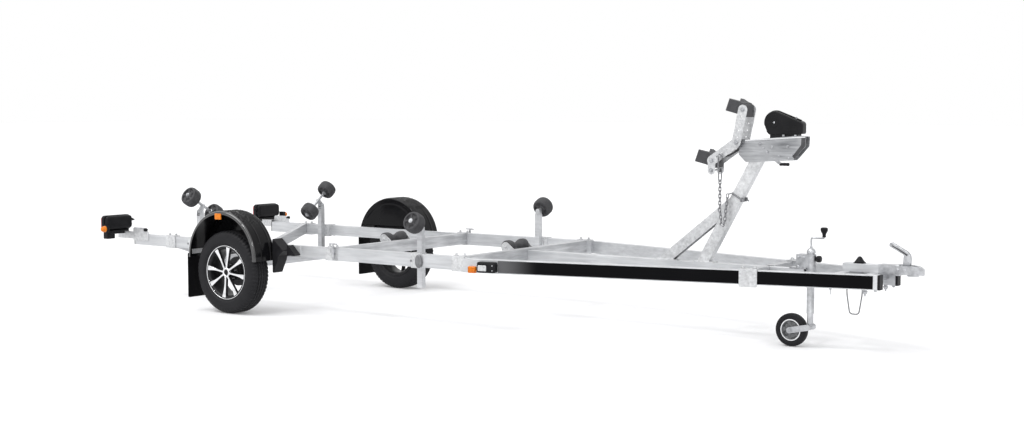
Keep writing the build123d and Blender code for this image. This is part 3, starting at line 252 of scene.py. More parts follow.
def softOutline(points, radius, steps=3):
    # each corner c becomes (1-t)^2 a + 2t(1-t) c + t^2 b, where a and b lie radius before and after it
    corner = np.asarray(points, float)
    before, after = np.roll(corner, 1, 0) - corner, np.roll(corner, -1, 0) - corner
    a = corner + before * np.minimum(radius / np.linalg.norm(before, axis=1, keepdims=True), 0.49)
    b = corner + after * np.minimum(radius / np.linalg.norm(after, axis=1, keepdims=True), 0.49)
    t = np.linspace(0, 1, steps + 1)[None, :, None]
    soft = (1 - t) ** 2 * a[:, None] + 2 * t * (1 - t) * corner[:, None] + t ** 2 * b[:, None]
    return soft.reshape(-1, corner.shape[1])


def softPath(points, radius, steps=5):
    # the same for an open path, whose two ends stay where they are
    corner = np.asarray(points, float)
    inner = softOutline(corner, radius, steps).reshape(len(corner), steps + 1, -1)[1:-1].reshape(-1, corner.shape[1])
    return np.vstack([corner[:1], inner, corner[-1:]])


def circle(radius, steps=12):
    angle = np.linspace(0, 2 * np.pi, steps, endpoint=False)
    return radius * np.stack([np.cos(angle), np.sin(angle)], 1)


def box(centre, size, radius=0.0, steps=3):
    # outline of a rectangle about its centre, with rounded corners
    corners = np.array([(-1, -1), (1, -1), (1, 1), (-1, 1)]) * np.array(size) / 2 + centre
    return softOutline(corners, radius, steps) if radius else corners


def spun(profile, centre, axis, first, second, angle, wave):
    # point(u, v) = centre + along(u) axis + radius(u) (cos v first + sin v second), changed by the wave
    angle = angle[:, None]
    along, radius = profile[None, :, 0] + 0 * angle, profile[None, :, 1] + 0 * angle
    if wave:
        along, radius = wave(angle, along, radius)
    points = (np.asarray(centre, float) + along[..., None] * np.asarray(axis, float)
        + radius[..., None] * (np.cos(angle)[..., None] * first + np.sin(angle)[..., None] * second))
    return points.reshape(-1, 3)


def lathe(profile, centre, axis, steps=48, wave=None):
    # a whole turn of (along, radius); a profile that starts on the axis is open there
    profile, axis = np.asarray(profile, float), unit(axis)
    first = unit(np.cross((0.0, 0, 1) if abs(axis[2]) < 0.9 else (1.0, 0, 0), axis))
    angle = np.linspace(0, 2 * np.pi, steps, endpoint=False)
    points = spun(profile, centre, axis, first, np.cross(axis, first), angle, wave)
    return points, gridFaces(steps, len(profile), True, profile[0, 1] > 0)


def arch(profile, centre, side, start, end, steps, wave=None):
    # part of a turn about the line across the trailer, from one angle to another
    profile, angle = np.asarray(profile, float), np.linspace(start, end, steps)
    points = spun(profile, centre, (0, side, 0), np.array((1, 0, 0)), np.array((0, 0, 1)), angle, wave)
    return points, gridFaces(steps, len(profile), False, True, True)


def pillow(outline, axis, low, high, edge, steps=4, both=False):
    # the outline carried from low to high; near high, or both ends, it shrinks by edge (1 - cos u) over edge sin u
    outline = np.asarray(outline, float)
    ahead, behind = unit(np.roll(outline, -1, 0) - outline), unit(outline - np.roll(outline, 1, 0))
    normal = unit(np.stack([ahead[:, 1] + behind[:, 1], -ahead[:, 0] - behind[:, 0]], 1))
    following = np.roll(outline, -1, 0)
    area = np.sum(outline[:, 0] * following[:, 1] - outline[:, 1] * following[:, 0])
    way = np.sign(high - low)
    u = np.linspace(0, np.pi / 2, steps + 1)
    shrink, rise = edge * (1 - np.cos(u)), edge * np.sin(u)
    first = np.stack([shrink[::-1], low + way * (edge - rise[::-1])], 1) if both else np.array([(0, low)])
    rows = np.vstack([first, np.stack([shrink, high - way * (edge - rise)], 1)])
    points = np.zeros((len(rows), len(outline), 3))
    points[:, :, [k for k in range(3) if k != axis]] = outline - rows[:, None, :1] * normal * np.sign(area)
    points[:, :, axis] = rows[:, None, 1]
    return points.reshape(-1, 3), gridFaces(len(rows), len(outline), False, True, True)


def slab(outline, axis, low, high):
    # the outline carried straight along x, y or z (axis 0, 1 or 2)
    points = np.zeros((2, len(outline), 3))
    points[:, :, [k for k in range(3) if k != axis]] = outline
    points[0, :, axis], points[1, :, axis] = low, high
    return points.reshape(-1, 3), gridFaces(2, len(outline), False, True, True)


def carried(path, section, up=(0, 1, 0), closed=False):
    # point(u, v) = path(v) + side(v) a(u) + normal(v) b(u), side and normal square to the path
    path, section = np.asarray(path, float), np.asarray(section, float)
    ahead, behind = np.roll(path, -1, 0), np.roll(path, 1, 0)
    if not closed:
        ahead[-1], behind[0] = path[-1], path[0]
    tangent = unit(ahead - behind)
    side = unit(np.cross(np.asarray(up, float), tangent))
    normal = np.cross(tangent, side)
    points = path[:, None] + side[:, None] * section[None, :, :1] + normal[:, None] * section[None, :, 1:]
    return points.reshape(-1, 3), gridFaces(len(path), len(section), closed, True, not closed)


def gather(*shapes):
    # many shapes as one: their points stacked, their faces counted on
    start, points, faces = 0, [], []
    for vertices, own in shapes:
        points.append(vertices)
        faces += [[k + start for k in face] for face in own]
        start += len(vertices)
    return np.vstack(points), faces


def turned(shape, origin, along, outward):
    # point = origin + x along + y outward + z up
    points, faces = shape
    return np.asarray(origin, float) + points @ np.stack([along, outward, (0, 0, 1)]), faces


def rod(start, end, radius, steps=12):
    start, end = np.asarray(start, float), np.asarray(end, float)
    length = float(np.linalg.norm(end - start))
    ease = min(radius * 0.2, length * 0.2)
    return lathe([(0, 0), (0, radius - ease), (ease, radius), (length - ease, radius), (length, radius - ease),
        (length, 0)], start, end - start, steps)


def disc(centre, axis, radius, height, steps):
    return lathe([(0, 0), (0, radius), (height, radius), (height, 0)], centre, axis, steps)


def dome(centre, axis, radius, height, steps=20):
    # a round cap: along = height sin u, radius = radius cos u
    u = np.linspace(0, np.pi / 2, 6)
    return lathe([(0, 0), *zip(height * np.sin(u), radius * np.cos(u))], centre, axis, steps)


def bolt(centre, axis, size, height, tail=0.0):
    # washer, six-sided nut and the end of the thread, size from the nut's middle to a corner
    centre, axis, washer = np.asarray(centre, float), unit(axis), size * 0.22
    nut = [(0, 0), (0, size * 0.94), (height * 0.18, size), (height * 0.8, size), (height, size * 0.82), (height, 0)]
    parts = [disc(centre, axis, size * 1.5, washer, 14), lathe(nut, centre + axis * washer, axis, 6)]
    if tail:
        thread = [(0, 0), (0, size * 0.5), (tail * 0.85, size * 0.5), (tail, size * 0.38), (tail, 0)]
        parts.append(lathe(thread, centre + axis * (washer + height), axis, 8))
    return gather(*parts)


def link(centre, long, wide, wire, lengthways, sideways):
    # a chain link: round wire along two straights and two half circles
    half, bend = (long - wide) / 2, (wide - wire) / 2
    turn = np.linspace(-np.pi / 2, np.pi / 2, 10)
    right = np.stack([half + bend * np.cos(turn), bend * np.sin(turn)], 1)
    flat = np.vstack([right, -right])
    path = np.asarray(centre, float) + flat[:, :1] * unit(lengthways) + flat[:, 1:] * unit(sideways)
    return carried(path, circle(wire / 2, 10), np.cross(unit(lengthways), unit(sideways)), True)


def pulse(value, width, power=4):
    # 1 at zero, nearly 0 past the width: exp(-(value / width)^power)
    return np.exp(-(value / width) ** power)


def slope(value, start, width):
    # 0 before the start, 1 past the width
    return np.clip((value - start) / width, 0, 1)


# pieces

def cleanMesh(mesh, gap, flats):
    # close points joined, flat parts made whole if asked, faces turned outwards
    work = bmesh.new()
    work.from_mesh(mesh)
    bmesh.ops.remove_doubles(work, verts=work.verts, dist=gap)
    if flats:
        bmesh.ops.dissolve_limit(work, angle_limit=math.radians(1), verts=work.verts, edges=work.edges)
    bmesh.ops.recalc_face_normals(work, faces=work.faces)
    work.to_mesh(mesh)
    work.free()


def finishPiece(name, mesh, finish, body, crease, bevel, node):
    piece = bpy.data.objects.new(name, mesh)
    bpy.context.scene.collection.objects.link(piece)
    mesh.polygons.foreach_set("use_smooth", [True] * len(mesh.polygons))
    mesh.set_sharp_from_angle(angle=math.radians(crease))
    mesh.materials.append(materials[finish])
    if bevel:
        edge = piece.modifiers.new("edge", "BEVEL")
        edge.width = bevel
        edge.segments = 2
        edge.limit_method = "ANGLE"
        edge.angle_limit = math.radians(38)
        edge.harden_normals = True
    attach(piece, body)
    if node:
        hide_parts(node)


def addPiece(name, shape, finish, node=None, body=None, crease=35, bevel=0.0):
    # a new piece of one shape or a list of them; it rides where the node that it replaces rode
    mesh = bpy.data.meshes.new(name)
    points, faces = gather(*shape) if isinstance(shape, list) else shape
    mesh.from_pydata((points + axle).tolist(), [], faces)
    cleanMesh(mesh, 2e-6, False)
    finishPiece(name, mesh, finish, body or bodyOfNode.get(node, "chassis"), crease,
        bevel, node)


def softened(node, finish, bevel):
    # a copy of a node with its edges eased
    name = "".join(word.capitalize() for word in node.split("_"))
    name = name[0].lower() + name[1:]
    mesh = nodes[node].data.copy()
    mesh.name = name
    mesh.materials.clear()
    cleanMesh(mesh, 2e-5, True)
    if "custom_normal" in mesh.attributes:
        mesh.attributes.remove(mesh.attributes["custom_normal"])
    finishPiece(name, mesh, finish, bodyOfNode[node], 30, bevel, node)


print("shapes ready")


# wheels

wheel = {
    "treadHalf": 0.074, "treadRadius": 0.2976, "grooves": (-0.036, -0.0125, 0.0125, 0.036), "grooveDepth": 0.0095,
    "grooveWidth": 0.0032, "pitches": 62, "sipeDepth": 0.0052, "sipeWidth": 0.17, "sideSteps": 496,
    "spokePairs": (12, 102, 192, 282), "pairSpread": 19.5, "spokeFace": 0.0715, "spokeRoot": 0.026,
    "spokeTip": 0.1875, "spokeWidths": (0.0072, 0.0052, 0.0195), "nutRing": 0.052, "nuts": 5,
    "flank": ((0.079, 0.2675), (0.081, 0.256), (0.0822, 0.244), (0.0824, 0.234), (0.0818, 0.223), (0.08, 0.214),
        (0.079, 0.2115), (0.0772, 0.21), (0.0745, 0.206), (0.0725, 0.201), (0.07, 0.1965),
        (0.0684, 0.1938), (0.0684, 0.186), (0.0684, 0.1782)),
    "lip": ((0.069, 0.189), (0.069, 0.1938), (0.0738, 0.1938), (0.0738, 0.1908), (0.0725, 0.1888)),
    "barrel": ((0.069, 0.1777), (0.069, 0.189), (0.0722, 0.1886), (0.0718, 0.183), (0.069, 0.1765),
        (0.06, 0.17), (0.056, 0.1685), (0.04, 0.165), (-0.03, 0.165), (-0.062, 0.168),
        (-0.0736, 0.175), (-0.0738, 0.1936), (-0.0692, 0.1936), (-0.0692, 0.1777), (0.055, 0.1777)),
    "disc": ((-0.006, 0.0205), (-0.006, 0.06), (0.012, 0.064), (0.02, 0.058), (0.024, 0.036), (0.05, 0.033),
        (0.05, 0.0205)),
    "nave": ((0.049, 0.0205), (0.049, 0.0325), (0.07, 0.0335), (0.0722, 0.031), (0.0722, 0.024),
        (0.07, 0.0225), (0.069, 0.0205)),
    "cap": ((0.058, 0), (0.058, 0.0203), (0.0694, 0.0203), (0.0714, 0.018), (0.0708, 0.01), (0.0722, 0.0085),
        (0.0722, 0)),
    "nut": ((0.018, 0), (0.018, 0.0088), (0.03, 0.0084), (0.033, 0.006), (0.033, 0)),
}


def mirroredLoop(half):
    # a profile and its mirror image along the axis, joined to one loop
    half = np.asarray(half, float)
    return np.vstack([half, half[::-1] * (-1, 1)])


def treadWave(angle, along, radius):
    # grooves round the tyre, and slots across it that lean with the distance from its middle
    grooves = sum(pulse(along - place, wheel["grooveWidth"]) for place in wheel["grooves"])
    phase = wheel["pitches"] * angle / (2 * np.pi) + 9 * np.abs(along)
    reach = slope(np.abs(along), 0.038, 0.004) + 0.45 * slope(-np.abs(along), -0.034, 0.003)
    slots = pulse(phase % 1.0 - 0.5, wheel["sipeWidth"]) * reach
    cut = np.maximum(wheel["grooveDepth"] * grooves, wheel["sipeDepth"] * slots)
    return along, radius - slope(radius, 0.272, 0.006) * cut


def spokeShape(angle, side, centre, grow, face, depth):
    # half width goes root, waist, tip with u^2.4, the face dips by 3 mm between its ends
    root, waist, tip = wheel["spokeWidths"]
    u = np.linspace(0, 1, 22)[:, None]
    out = wheel["spokeRoot"] + u * (wheel["spokeTip"] - wheel["spokeRoot"])
    halfWidth = grow + root + (waist - root) * np.sin(np.pi * np.minimum(u * 0.9, 0.5)) + (tip - waist) * u ** 2.4
    top = face - 0.003 * np.sin(np.pi * u) ** 2
    w = np.array([(-1, -depth), (-1, -0.0016), (-0.82, 0), (0.82, 0), (1, -0.0016), (1, -depth)])
    width, high = halfWidth * w[None, :, 0], top + w[None, :, 1] + 0 * halfWidth
    along = np.array((math.cos(angle), 0, math.sin(angle)))
    sideways = np.array((-math.sin(angle), 0, math.cos(angle)))
    points = centre + out[..., None] * along + width[..., None] * sideways + high[..., None] * np.array((0, side, 0))
    return points.reshape(-1, 3), gridFaces(22, 6, False, True, True)


across = np.linspace(-wheel["treadHalf"], wheel["treadHalf"], 67)
tread = np.stack([across, wheel["treadRadius"] - 0.0016 * (np.abs(across) / 0.05) ** 6], 1)
tyreLoop = np.vstack([tread, mirroredLoop(wheel["flank"])])
spokeAngles = [math.radians(pair + way * wheel["pairSpread"]) for pair in wheel["spokePairs"] for way in ways]
nutAngles = np.linspace(0, 2 * np.pi, wheel["nuts"], endpoint=False) + 0.3
for word, side in sides:
    low, outward = word.lower(), (0, side, 0)
    body, hubAt = "wheel_" + low, jointAt[f"wheel_{low}_spin"]
    addPiece("tyre" + word, lathe(tyreLoop, hubAt, outward, wheel["sideSteps"], treadWave), "tyreRubber",
        "tyre_" + low, crease=50)
    addPiece("rimLip" + word, lathe(softOutline(wheel["lip"], 0.0012), hubAt, outward, 120), "polishedAlloy",
        "rim_" + low)
    backs = [spokeShape(a, side, hubAt, 0.0014, wheel["spokeFace"] - 0.0022, 0.02) for a in spokeAngles]
    backs += [lathe(wheel["barrel"], hubAt, outward, 96), lathe(wheel["disc"], hubAt, outward, 60)]
    addPiece("rimBarrel" + word, backs, "rimPaint", body=body)
    faces = [spokeShape(a, side, hubAt, 0.0, wheel["spokeFace"], 0.0024) for a in spokeAngles]
    addPiece("rimSpokes" + word, [*faces, lathe(wheel["nave"], hubAt, outward, 64)], "polishedAlloy", body=body)
    nuts = [lathe(wheel["nut"], hubAt + wheel["nutRing"] * np.array((math.cos(a), 0, math.sin(a))), outward, 6)
        for a in nutAngles]
    addPiece("wheelNuts" + word, nuts, "zincSteel", body=body)
    addPiece("hubCap" + word, lathe(wheel["cap"], hubAt, outward, 40), "mouldedBlack", body=body)
print("wheels done")


# fenders, reflectors and mud flaps

fender = {
    "place": (-0.02, 0.4), "radius": 0.338, "inY": 0.832, "outY": 1.04, "low": 0.392,
    "ridges": (0.0425, 0.1325), "ridgeWidth": 0.0058, "ridgeHeight": 0.004, "lip": 0.024, "bend": 0.014,
    "studHeight": 0.0042, "panelRadius": 0.328, "panelLow": 0.112, "ribs": (0.315, 0.245), "boltZ": 0.431,
    "flapX": (-0.3628, -0.3582), "flapY": (0.8322, 1.0395), "flapZ": (0.0955, 0.4215),
}
fx, fz = fender["place"]
outer, bend = fender["radius"], fender["bend"]
width = fender["outY"] - fender["inY"]
up = np.linspace(bend, width - bend, 69)
ridge = sum(pulse(up - place, fender["ridgeWidth"]) for place in fender["ridges"])
top = np.stack([up, outer - 0.0004 + fender["ridgeHeight"] * ridge], 1)


def fenderCorner(radius, angle):
    # (width, outer - 0.0004) rounded: along = width - bend + radius sin, out = outer - 0.0144 + radius cos
    return np.stack([width - bend + radius * np.sin(angle), outer - 0.0144 + radius * np.cos(angle)], 1)


outerEdge = fenderCorner(bend, np.linspace(0, np.pi / 2, 7)[1:-1])
inside = np.array([(width, -fender["lip"]), (width - 0.004, -fender["lip"]), (width - 0.004, -0.018),
    (width - 0.018, -0.0046), (0.018, -0.0046), (0.004, -0.018), (0.004, -0.06), (0, -0.06)])
shell = np.vstack([outerEdge[::-1] * (-1, 1) + (width, 0), top, outerEdge, inside + (0, outer)])
skinBack = np.array([(width + 0.0006, 0.001 - fender["lip"]), (width - 0.002, 0.001 - fender["lip"]),
    (width - 0.002, -0.014), (width - 0.012, -0.0024)])
edgeSkin = np.vstack([fenderCorner(bend + 0.0006, np.linspace(0, np.pi / 2, 11)), skinBack + (0, outer)])


def gripWave(angle, along, radius):
    # small raised studs on the top of the arch, between its ridges and beside them
    studs = np.cos(angle * 58 + 3.1 * np.sin(along * 90)) * np.cos(along * 360 + 2.2 * np.sin(angle * 21))
    zone = slope(angle, 0.78, 0.12) * slope(-angle, -2.36, 0.12)
    flat = slope(along, 0.016, 0.006) * slope(-along, 0.02 - width, 0.006)
    outside = (radius > outer - 0.0012) * (radius < outer + 0.0008)
    return along, radius + fender["studHeight"] * np.clip(studs, 0, 1) ** 0.7 * zone * flat * outside


lowAngle = math.asin((fender["low"] - fz) / outer)
t = np.linspace(0.335, np.pi - 0.335, 70)
rim = fender["panelRadius"] * np.stack([np.cos(t), np.sin(t)], 1)
panel = np.vstack([rim, [(rim[-1, 0], fender["panelLow"]), (rim[0, 0], fender["panelLow"])]]) + fender["place"]
for word, side in sides:
    centre, ends = (fx, side * fender["inY"], fz), (lowAngle, np.pi - lowAngle)
    addPiece("fender" + word, arch(shell, centre, side, *ends, 300, gripWave), "fenderBlack", "fenders", crease=40)
    # the rolled edge is its own glossier skin over the shell's outer corner
    addPiece("fenderEdge" + word, arch(edgeSkin, centre, side, *ends, 200), "edgeGloss", crease=50)
    addPiece("fenderPanel" + word, slab(panel, 1, side * (fender["inY"] + 0.0002), side * (fender["inY"] + 0.0038)),
        "fenderBlack")
    ribs = [arch([(0, r - 0.006), (0, r), (0.004, r - 0.001), (0.004, r - 0.005)], centre, side, 0.5, np.pi - 0.5, 60)
        for r in fender["ribs"]]
    addPiece("panelRibs" + word, ribs, "fenderBlack")
    bolts = [bolt((fx + way * 0.3335, side * y, fender["boltZ"]), (-way, 0, 0), 0.008, 0.006)
        for way in ways for y in (0.87, 0.93)]
    addPiece("fenderBolts" + word, bolts, "zincSteel")
    (y0, y1), (z0, z1) = fender["flapY"], fender["flapZ"]
    flap = np.array([(y0, z0), (y1, z0), (y1, z1), (y0, z1)]) * (side, 1)
    addPiece("mudFlap" + word, slab(softOutline(flap, 0.012), 0, *fender["flapX"]), "flapRubber", "mud_flaps")
    buttons = [dome((fender["flapX"][1], side * y, 0.408), (1, 0, 0), 0.007, 0.003, 12) for y in (0.856, 0.93, 1.012)]
    addPiece("flapButtons" + word, buttons, "zincSteel")
print("fenders done")


# rollers

roller = {
    "half": 0.039, "dish": 0.0105, "spokes": 5, "ribs": 7, "ribDepth": 0.0028, "notches": 36, "notchDepth": 0.0026,
    "crown": 0.0708, "bores": {"middle": 0.0084, "outer": 0.0104, "inner": 0.0104},
    "shoulder": ((0.0358, 0.0665), (0.0375, 0.0635), (0.0386, 0.06), (0.0389, 0.056), (0.0386, 0.053),
        (0.037, 0.0516), (0.0262, 0.0508), (0.025, 0.049), (0.025, 0.04), (0.025, 0.031),
        (0.0262, 0.029), (0.0375, 0.0255), (0.0388, 0.0235), (0.0389, 0.02)),
}


def rollerWave(angle, along, radius):
    # ribs round the tread, shallow notches across it, and spokes that stand up in the dished faces
    share = angle / (2 * np.pi)
    ribs = 0.5 - 0.5 * np.cos(np.pi * roller["ribs"] * along / roller["half"])
    notch = pulse(roller["notches"] * share % 1.0 - 0.5, 0.16) * slope(np.abs(along), 0.02, 0.004)
    radius = radius - slope(radius, 0.0585, 0.003) * (roller["ribDepth"] * ribs + roller["notchDepth"] * notch)
    spoke = pulse(roller["spokes"] * share % 1.0 - 0.5, 0.17)
    return along + (radius > 0.0285) * (radius < 0.0515) * np.sign(along) * roller["dish"] * spoke, radius


t = np.linspace(0.006 - roller["half"], roller["half"] - 0.006, 43)
crown = np.stack([t, roller["crown"] - 0.004 * (np.abs(t) / 0.033) ** 6], 1)
for place, bore in roller["bores"].items():
    loop = np.vstack([crown, mirroredLoop([*roller["shoulder"], (0.0389, bore)])])
    for word, _ in sides:
        stem = f"{place}_roller_{word.lower()}"
        addPiece(f"{place}Roller{word}", lathe(loop, jointAt[stem + "_spin"], jointAxis[stem + "_spin"], 180,
            rollerWave), "rollerRubber", stem, crease=45)

keel = {
    "half": 0.11, "radius": 0.045, "waist": 0.024, "hollow": 0.076, "rings": 9, "ringDepth": 0.0012,
    "cheek": ((0.084, 0.0449), (0.098, 0.0449), (0.1045, 0.0435), (0.1088, 0.0395), (0.1098, 0.0355), (0.1098, 0.027),
        (0.106, 0.024), (0.106, 0.016), (0.1098, 0.013), (0.1098, 0.0084)),
}


def keelWave(angle, along, radius):
    # fine rings cut into the rubber between the cheeks
    cut = pulse(keel["rings"] * (along + keel["half"]) / keel["half"] % 1.0 - 0.5, 0.12)
    return along, radius - keel["ringDepth"] * cut * (radius > 0.02) * (np.abs(along) < 0.095)


# the hourglass: radius = waist + (radius - waist) (1 - cos(pi |t| / hollow)) / 2
t = np.linspace(-keel["hollow"], keel["hollow"], 91)
swell = (keel["radius"] - keel["waist"]) * (1 - np.cos(np.pi * np.abs(t) / keel["hollow"])) / 2
keelLoop = np.vstack([np.stack([t, keel["waist"] + swell], 1), mirroredLoop(keel["cheek"])])
for word in ("rear", "middle", "front"):
    stem = "keel_roller_" + word
    addPiece("keelRoller" + word.capitalize(), lathe(keelLoop, jointAt[stem + "_spin"], (0, 1, 0), 96, keelWave),
        "rollerRubber", stem, crease=40)
print("rollers done")


# beams, plates and clamps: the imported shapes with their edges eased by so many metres

eased = {
    "rear_rails": ("drawnAluminium", 0.0022), "front_rails": ("drawnAluminium", 0.0025),
    "vee_beams": ("drawnAluminium", 0.0025), "keel_beam": ("drawnAluminium", 0.0022),
    "cross_beams": ("crossAluminium", 0.0022), "rear_cross_beam": ("crossAluminium", 0.0022),
    "axle_beam": ("crossAluminium", 0.003), "rail_clamps": ("galvanised", 0.0012), "swing_arms": ("galvanised", 0.003),
    "stays": ("galvanised", 0.001), "keel_brackets": ("galvanised", 0.0012), "side_posts": ("drawnAluminium", 0.0015),
    "winch_post": ("galvanised", 0.003), "winch_brace": ("galvanised", 0.0025), "winch_head": ("brushedPlate", 0.0008),
    "bow_arms": ("galvanised", 0.001), "bow_pads": ("padRubber", 0.004), "draw_bar": ("drawnAluminium", 0.003),
    "rocker_arm_right": ("zincSteel", 0.0015), "rocker_arm_left": ("zincSteel", 0.0015),
    "jockey_clamp": ("zincSteel", 0.0025), "jockey_fork": ("zincSteel", 0.0012), "end_caps": ("mouldedBlack", 0.0025),
    "wheel_chock": ("mouldedBlack", 0.004), "coupling_head": ("zincSteel", 0.0035),
}
for node, (finish, bevel) in eased.items():
    softened(node, finish, bevel)
# the chock's holder is black, though it is one node with the metal clamps
holder = {"from": 0.42, "to": 0.52, "outside": -0.785}
clampMesh = bpy.data.objects["railClamps"].data
clampMesh.materials.append(materials["mouldedBlack"])
middles = np.zeros(3 * len(clampMesh.polygons))
clampMesh.polygons.foreach_get("center", middles)
middles = middles.reshape(-1, 3) - axle
black = (middles[:, 0] > holder["from"]) & (middles[:, 0] < holder["to"]) & (middles[:, 1] < holder["outside"])
clampMesh.polygons.foreach_set("material_index", black.astype(np.int32))
# thin ends that close the front rails
railEnd = {"y": 0.747, "z": 0.458, "size": (0.05, 0.09), "x": (1.9852, 1.9868)}
for word, side in sides:
    outline = box((side * railEnd["y"], railEnd["z"]), railEnd["size"], 0.004)
    addPiece("railEnd" + word, slab(outline, 0, *railEnd["x"]), "drawnAluminium")
print("beams and plates done")


# frame fittings

fitting = {
    "clamps": ((-0.84, 0.4795), (0.8, 0.4995), (1.92, 0.503)), "clampReach": 0.034, "clampY": 0.747,
    "tail": ((0, 0), (0, 0.0052), (0.0035, 0.0052), (0.0045, 0.004), (0.0045, 0)), "tailRise": 0.0185,
    "washer": (0.015, 0.002), "washerRise": 0.0058,
    "screwAt": (0.829, 0.786), "screwZ": (0.417, 0.528), "screwBar": 0.036,
    "bumpers": ((1.59, 0.778, 0.454), (-0.58, 0.7745, 0.454)), "bumperSize": (0.058, 0.092), "bumperRise": 0.012,
    "knobAt": (-1.11, 0.764, 0.536),
    "knob": ((0, 0), (0, 0.00675), (0.01, 0.00675), (0.012, 0.0135), (0.026, 0.0135), (0.03, 0.0108), (0.03, 0)),
    "noseBolts": ((4.2834, 0.205, 0.0075, 0.03), (4.482, 0.158, 0.0105, 0.03), (4.54, 0.14, 0.009, 0.002)),
    "noseCone": ((0, 0), (0, 0.0165), (0.006, 0.015), (0.018, 0.0085), (0.018, 0)),
    "noseConeAt": (4.482, 0.158, 0.397),
}
for word, side in sides:
    flip = np.array((1, side, 1))
    spots = [(x + way * fitting["clampReach"], side * fitting["clampY"], z)
        for x, z in fitting["clamps"] for way in ways]
    threads = [lathe(fitting["tail"], (x, y, z + fitting["tailRise"]), (0, 0, 1), 12) for x, y, z in spots]
    washers = [disc((x, y, z + fitting["washerRise"]), (0, 0, 1), *fitting["washer"], 18) for x, y, z in spots]
    addPiece("clampTails" + word, threads + washers, "zincSteel")
    (x, y), (low, high) = fitting["screwAt"] * flip[:2], fitting["screwZ"]
    bar = (x - fitting["screwBar"], y, high + 0.003), (x + fitting["screwBar"], y, high + 0.003)
    screw = [rod((x, y, low), (x, y, high), 0.0058), rod(*bar, 0.005),
        disc((x, y, 0.448), (0, 0, 1), 0.0105, 0.016, 6),
        disc((x, y, 0.507), (0, 0, 1), 0.009, 0.012, 16),
        slab(box((x, y), (0.03, 0.028), 0.004), 2, 0.47, 0.5)]
    addPiece("handScrew" + word, screw, "zincSteel")
    bumpers = [pillow(circle(1, 28) * fitting["bumperSize"] / 2 + (x, z), 1, side * (y - 0.001),
        side * (y + fitting["bumperRise"]), 0.0105, 6) for x, y, z in fitting["bumpers"]]
    marks = [dome((x - 0.067, side * (y - 0.0002), z), (0, side, 0), 0.0085, 0.003, 16)
        for x, y, z in fitting["bumpers"]]
    addPiece("clampBumpers" + word, bumpers + marks, "bumperGrey")
    addPiece("gussetKnobs" + word, lathe(fitting["knob"], fitting["knobAt"] * flip, (0, side, 0), 20), "mouldedBlack")
    hung = [bolt((x, side * y, 0.4084), (0, 0, -1), r, 0.009, tail) for x, y, r, tail in fitting["noseBolts"]]
    cone = lathe(fitting["noseCone"], fitting["noseConeAt"] * flip, (0, 0, -1), 20)
    addPiece("veeBolts" + word, [*hung, cone], "zincSteel")
print("frame fittings done")


# lamps

lamp = {
    "tailX": (-1.43, -1.362), "tailY": (0.686, 0.946), "tailZ": (0.521, 0.641), "tailSoft": 0.018,
    "bracketX": -1.392, "lensX": (-1.4285, -1.4418), "lensSize": (0.2478, 0.0958), "lensRibs": (0.704, 0.928, 29),
    "markerAt": (-1.352, 0.9752, 0.543), "markerRadius": 0.0245,
    # along, and by how much the radius is less
    "markerRings": ((0, 0), (0.006, 0), (0.01, 0.0012), (0.012, 0.003), (0.016, 0.0024), (0.018, 0.005),
        (0.022, 0.0048), (0.024, 0.008), (0.028, 0.0084), (0.031, 0.013), (0.0335, 0.019)),
    "reflectorAt": (-0.038, 0.7), "reflectorY": (1.0398, 1.0478),
    "frontAt": 2.157, "frontSize": (0.132, 0.07), "frontDepth": 0.036, "frontZ": 0.449,
    "glassAt": (-0.0265, 0.4445), "glassSize": (0.06, 0.038),
    "amberAt": 2.051, "amberSize": (0.058, 0.045), "amberDepth": 0.0178, "amberZ": 0.429,
    "plateAt": 3.8125, "plateSize": (0.112, 0.112), "plateZ": 0.4505, "plateBolts": 0.036,
}
beam = {"angle": math.radians(14.04), "slant": 0.2501, "start": (1.985, 0.808)}


def onBeam(x, side):
    # the place on the V-beam's outer face at x, y = start - (x - start) slant, and the ways along and out of it
    place = np.array((x, side * (beam["start"][1] - (x - beam["start"][0]) * beam["slant"]), 0))
    along, out = math.cos(beam["angle"]), math.sin(beam["angle"])
    return place, np.array((along, -side * out, 0)), np.array((out, side * along, 0))


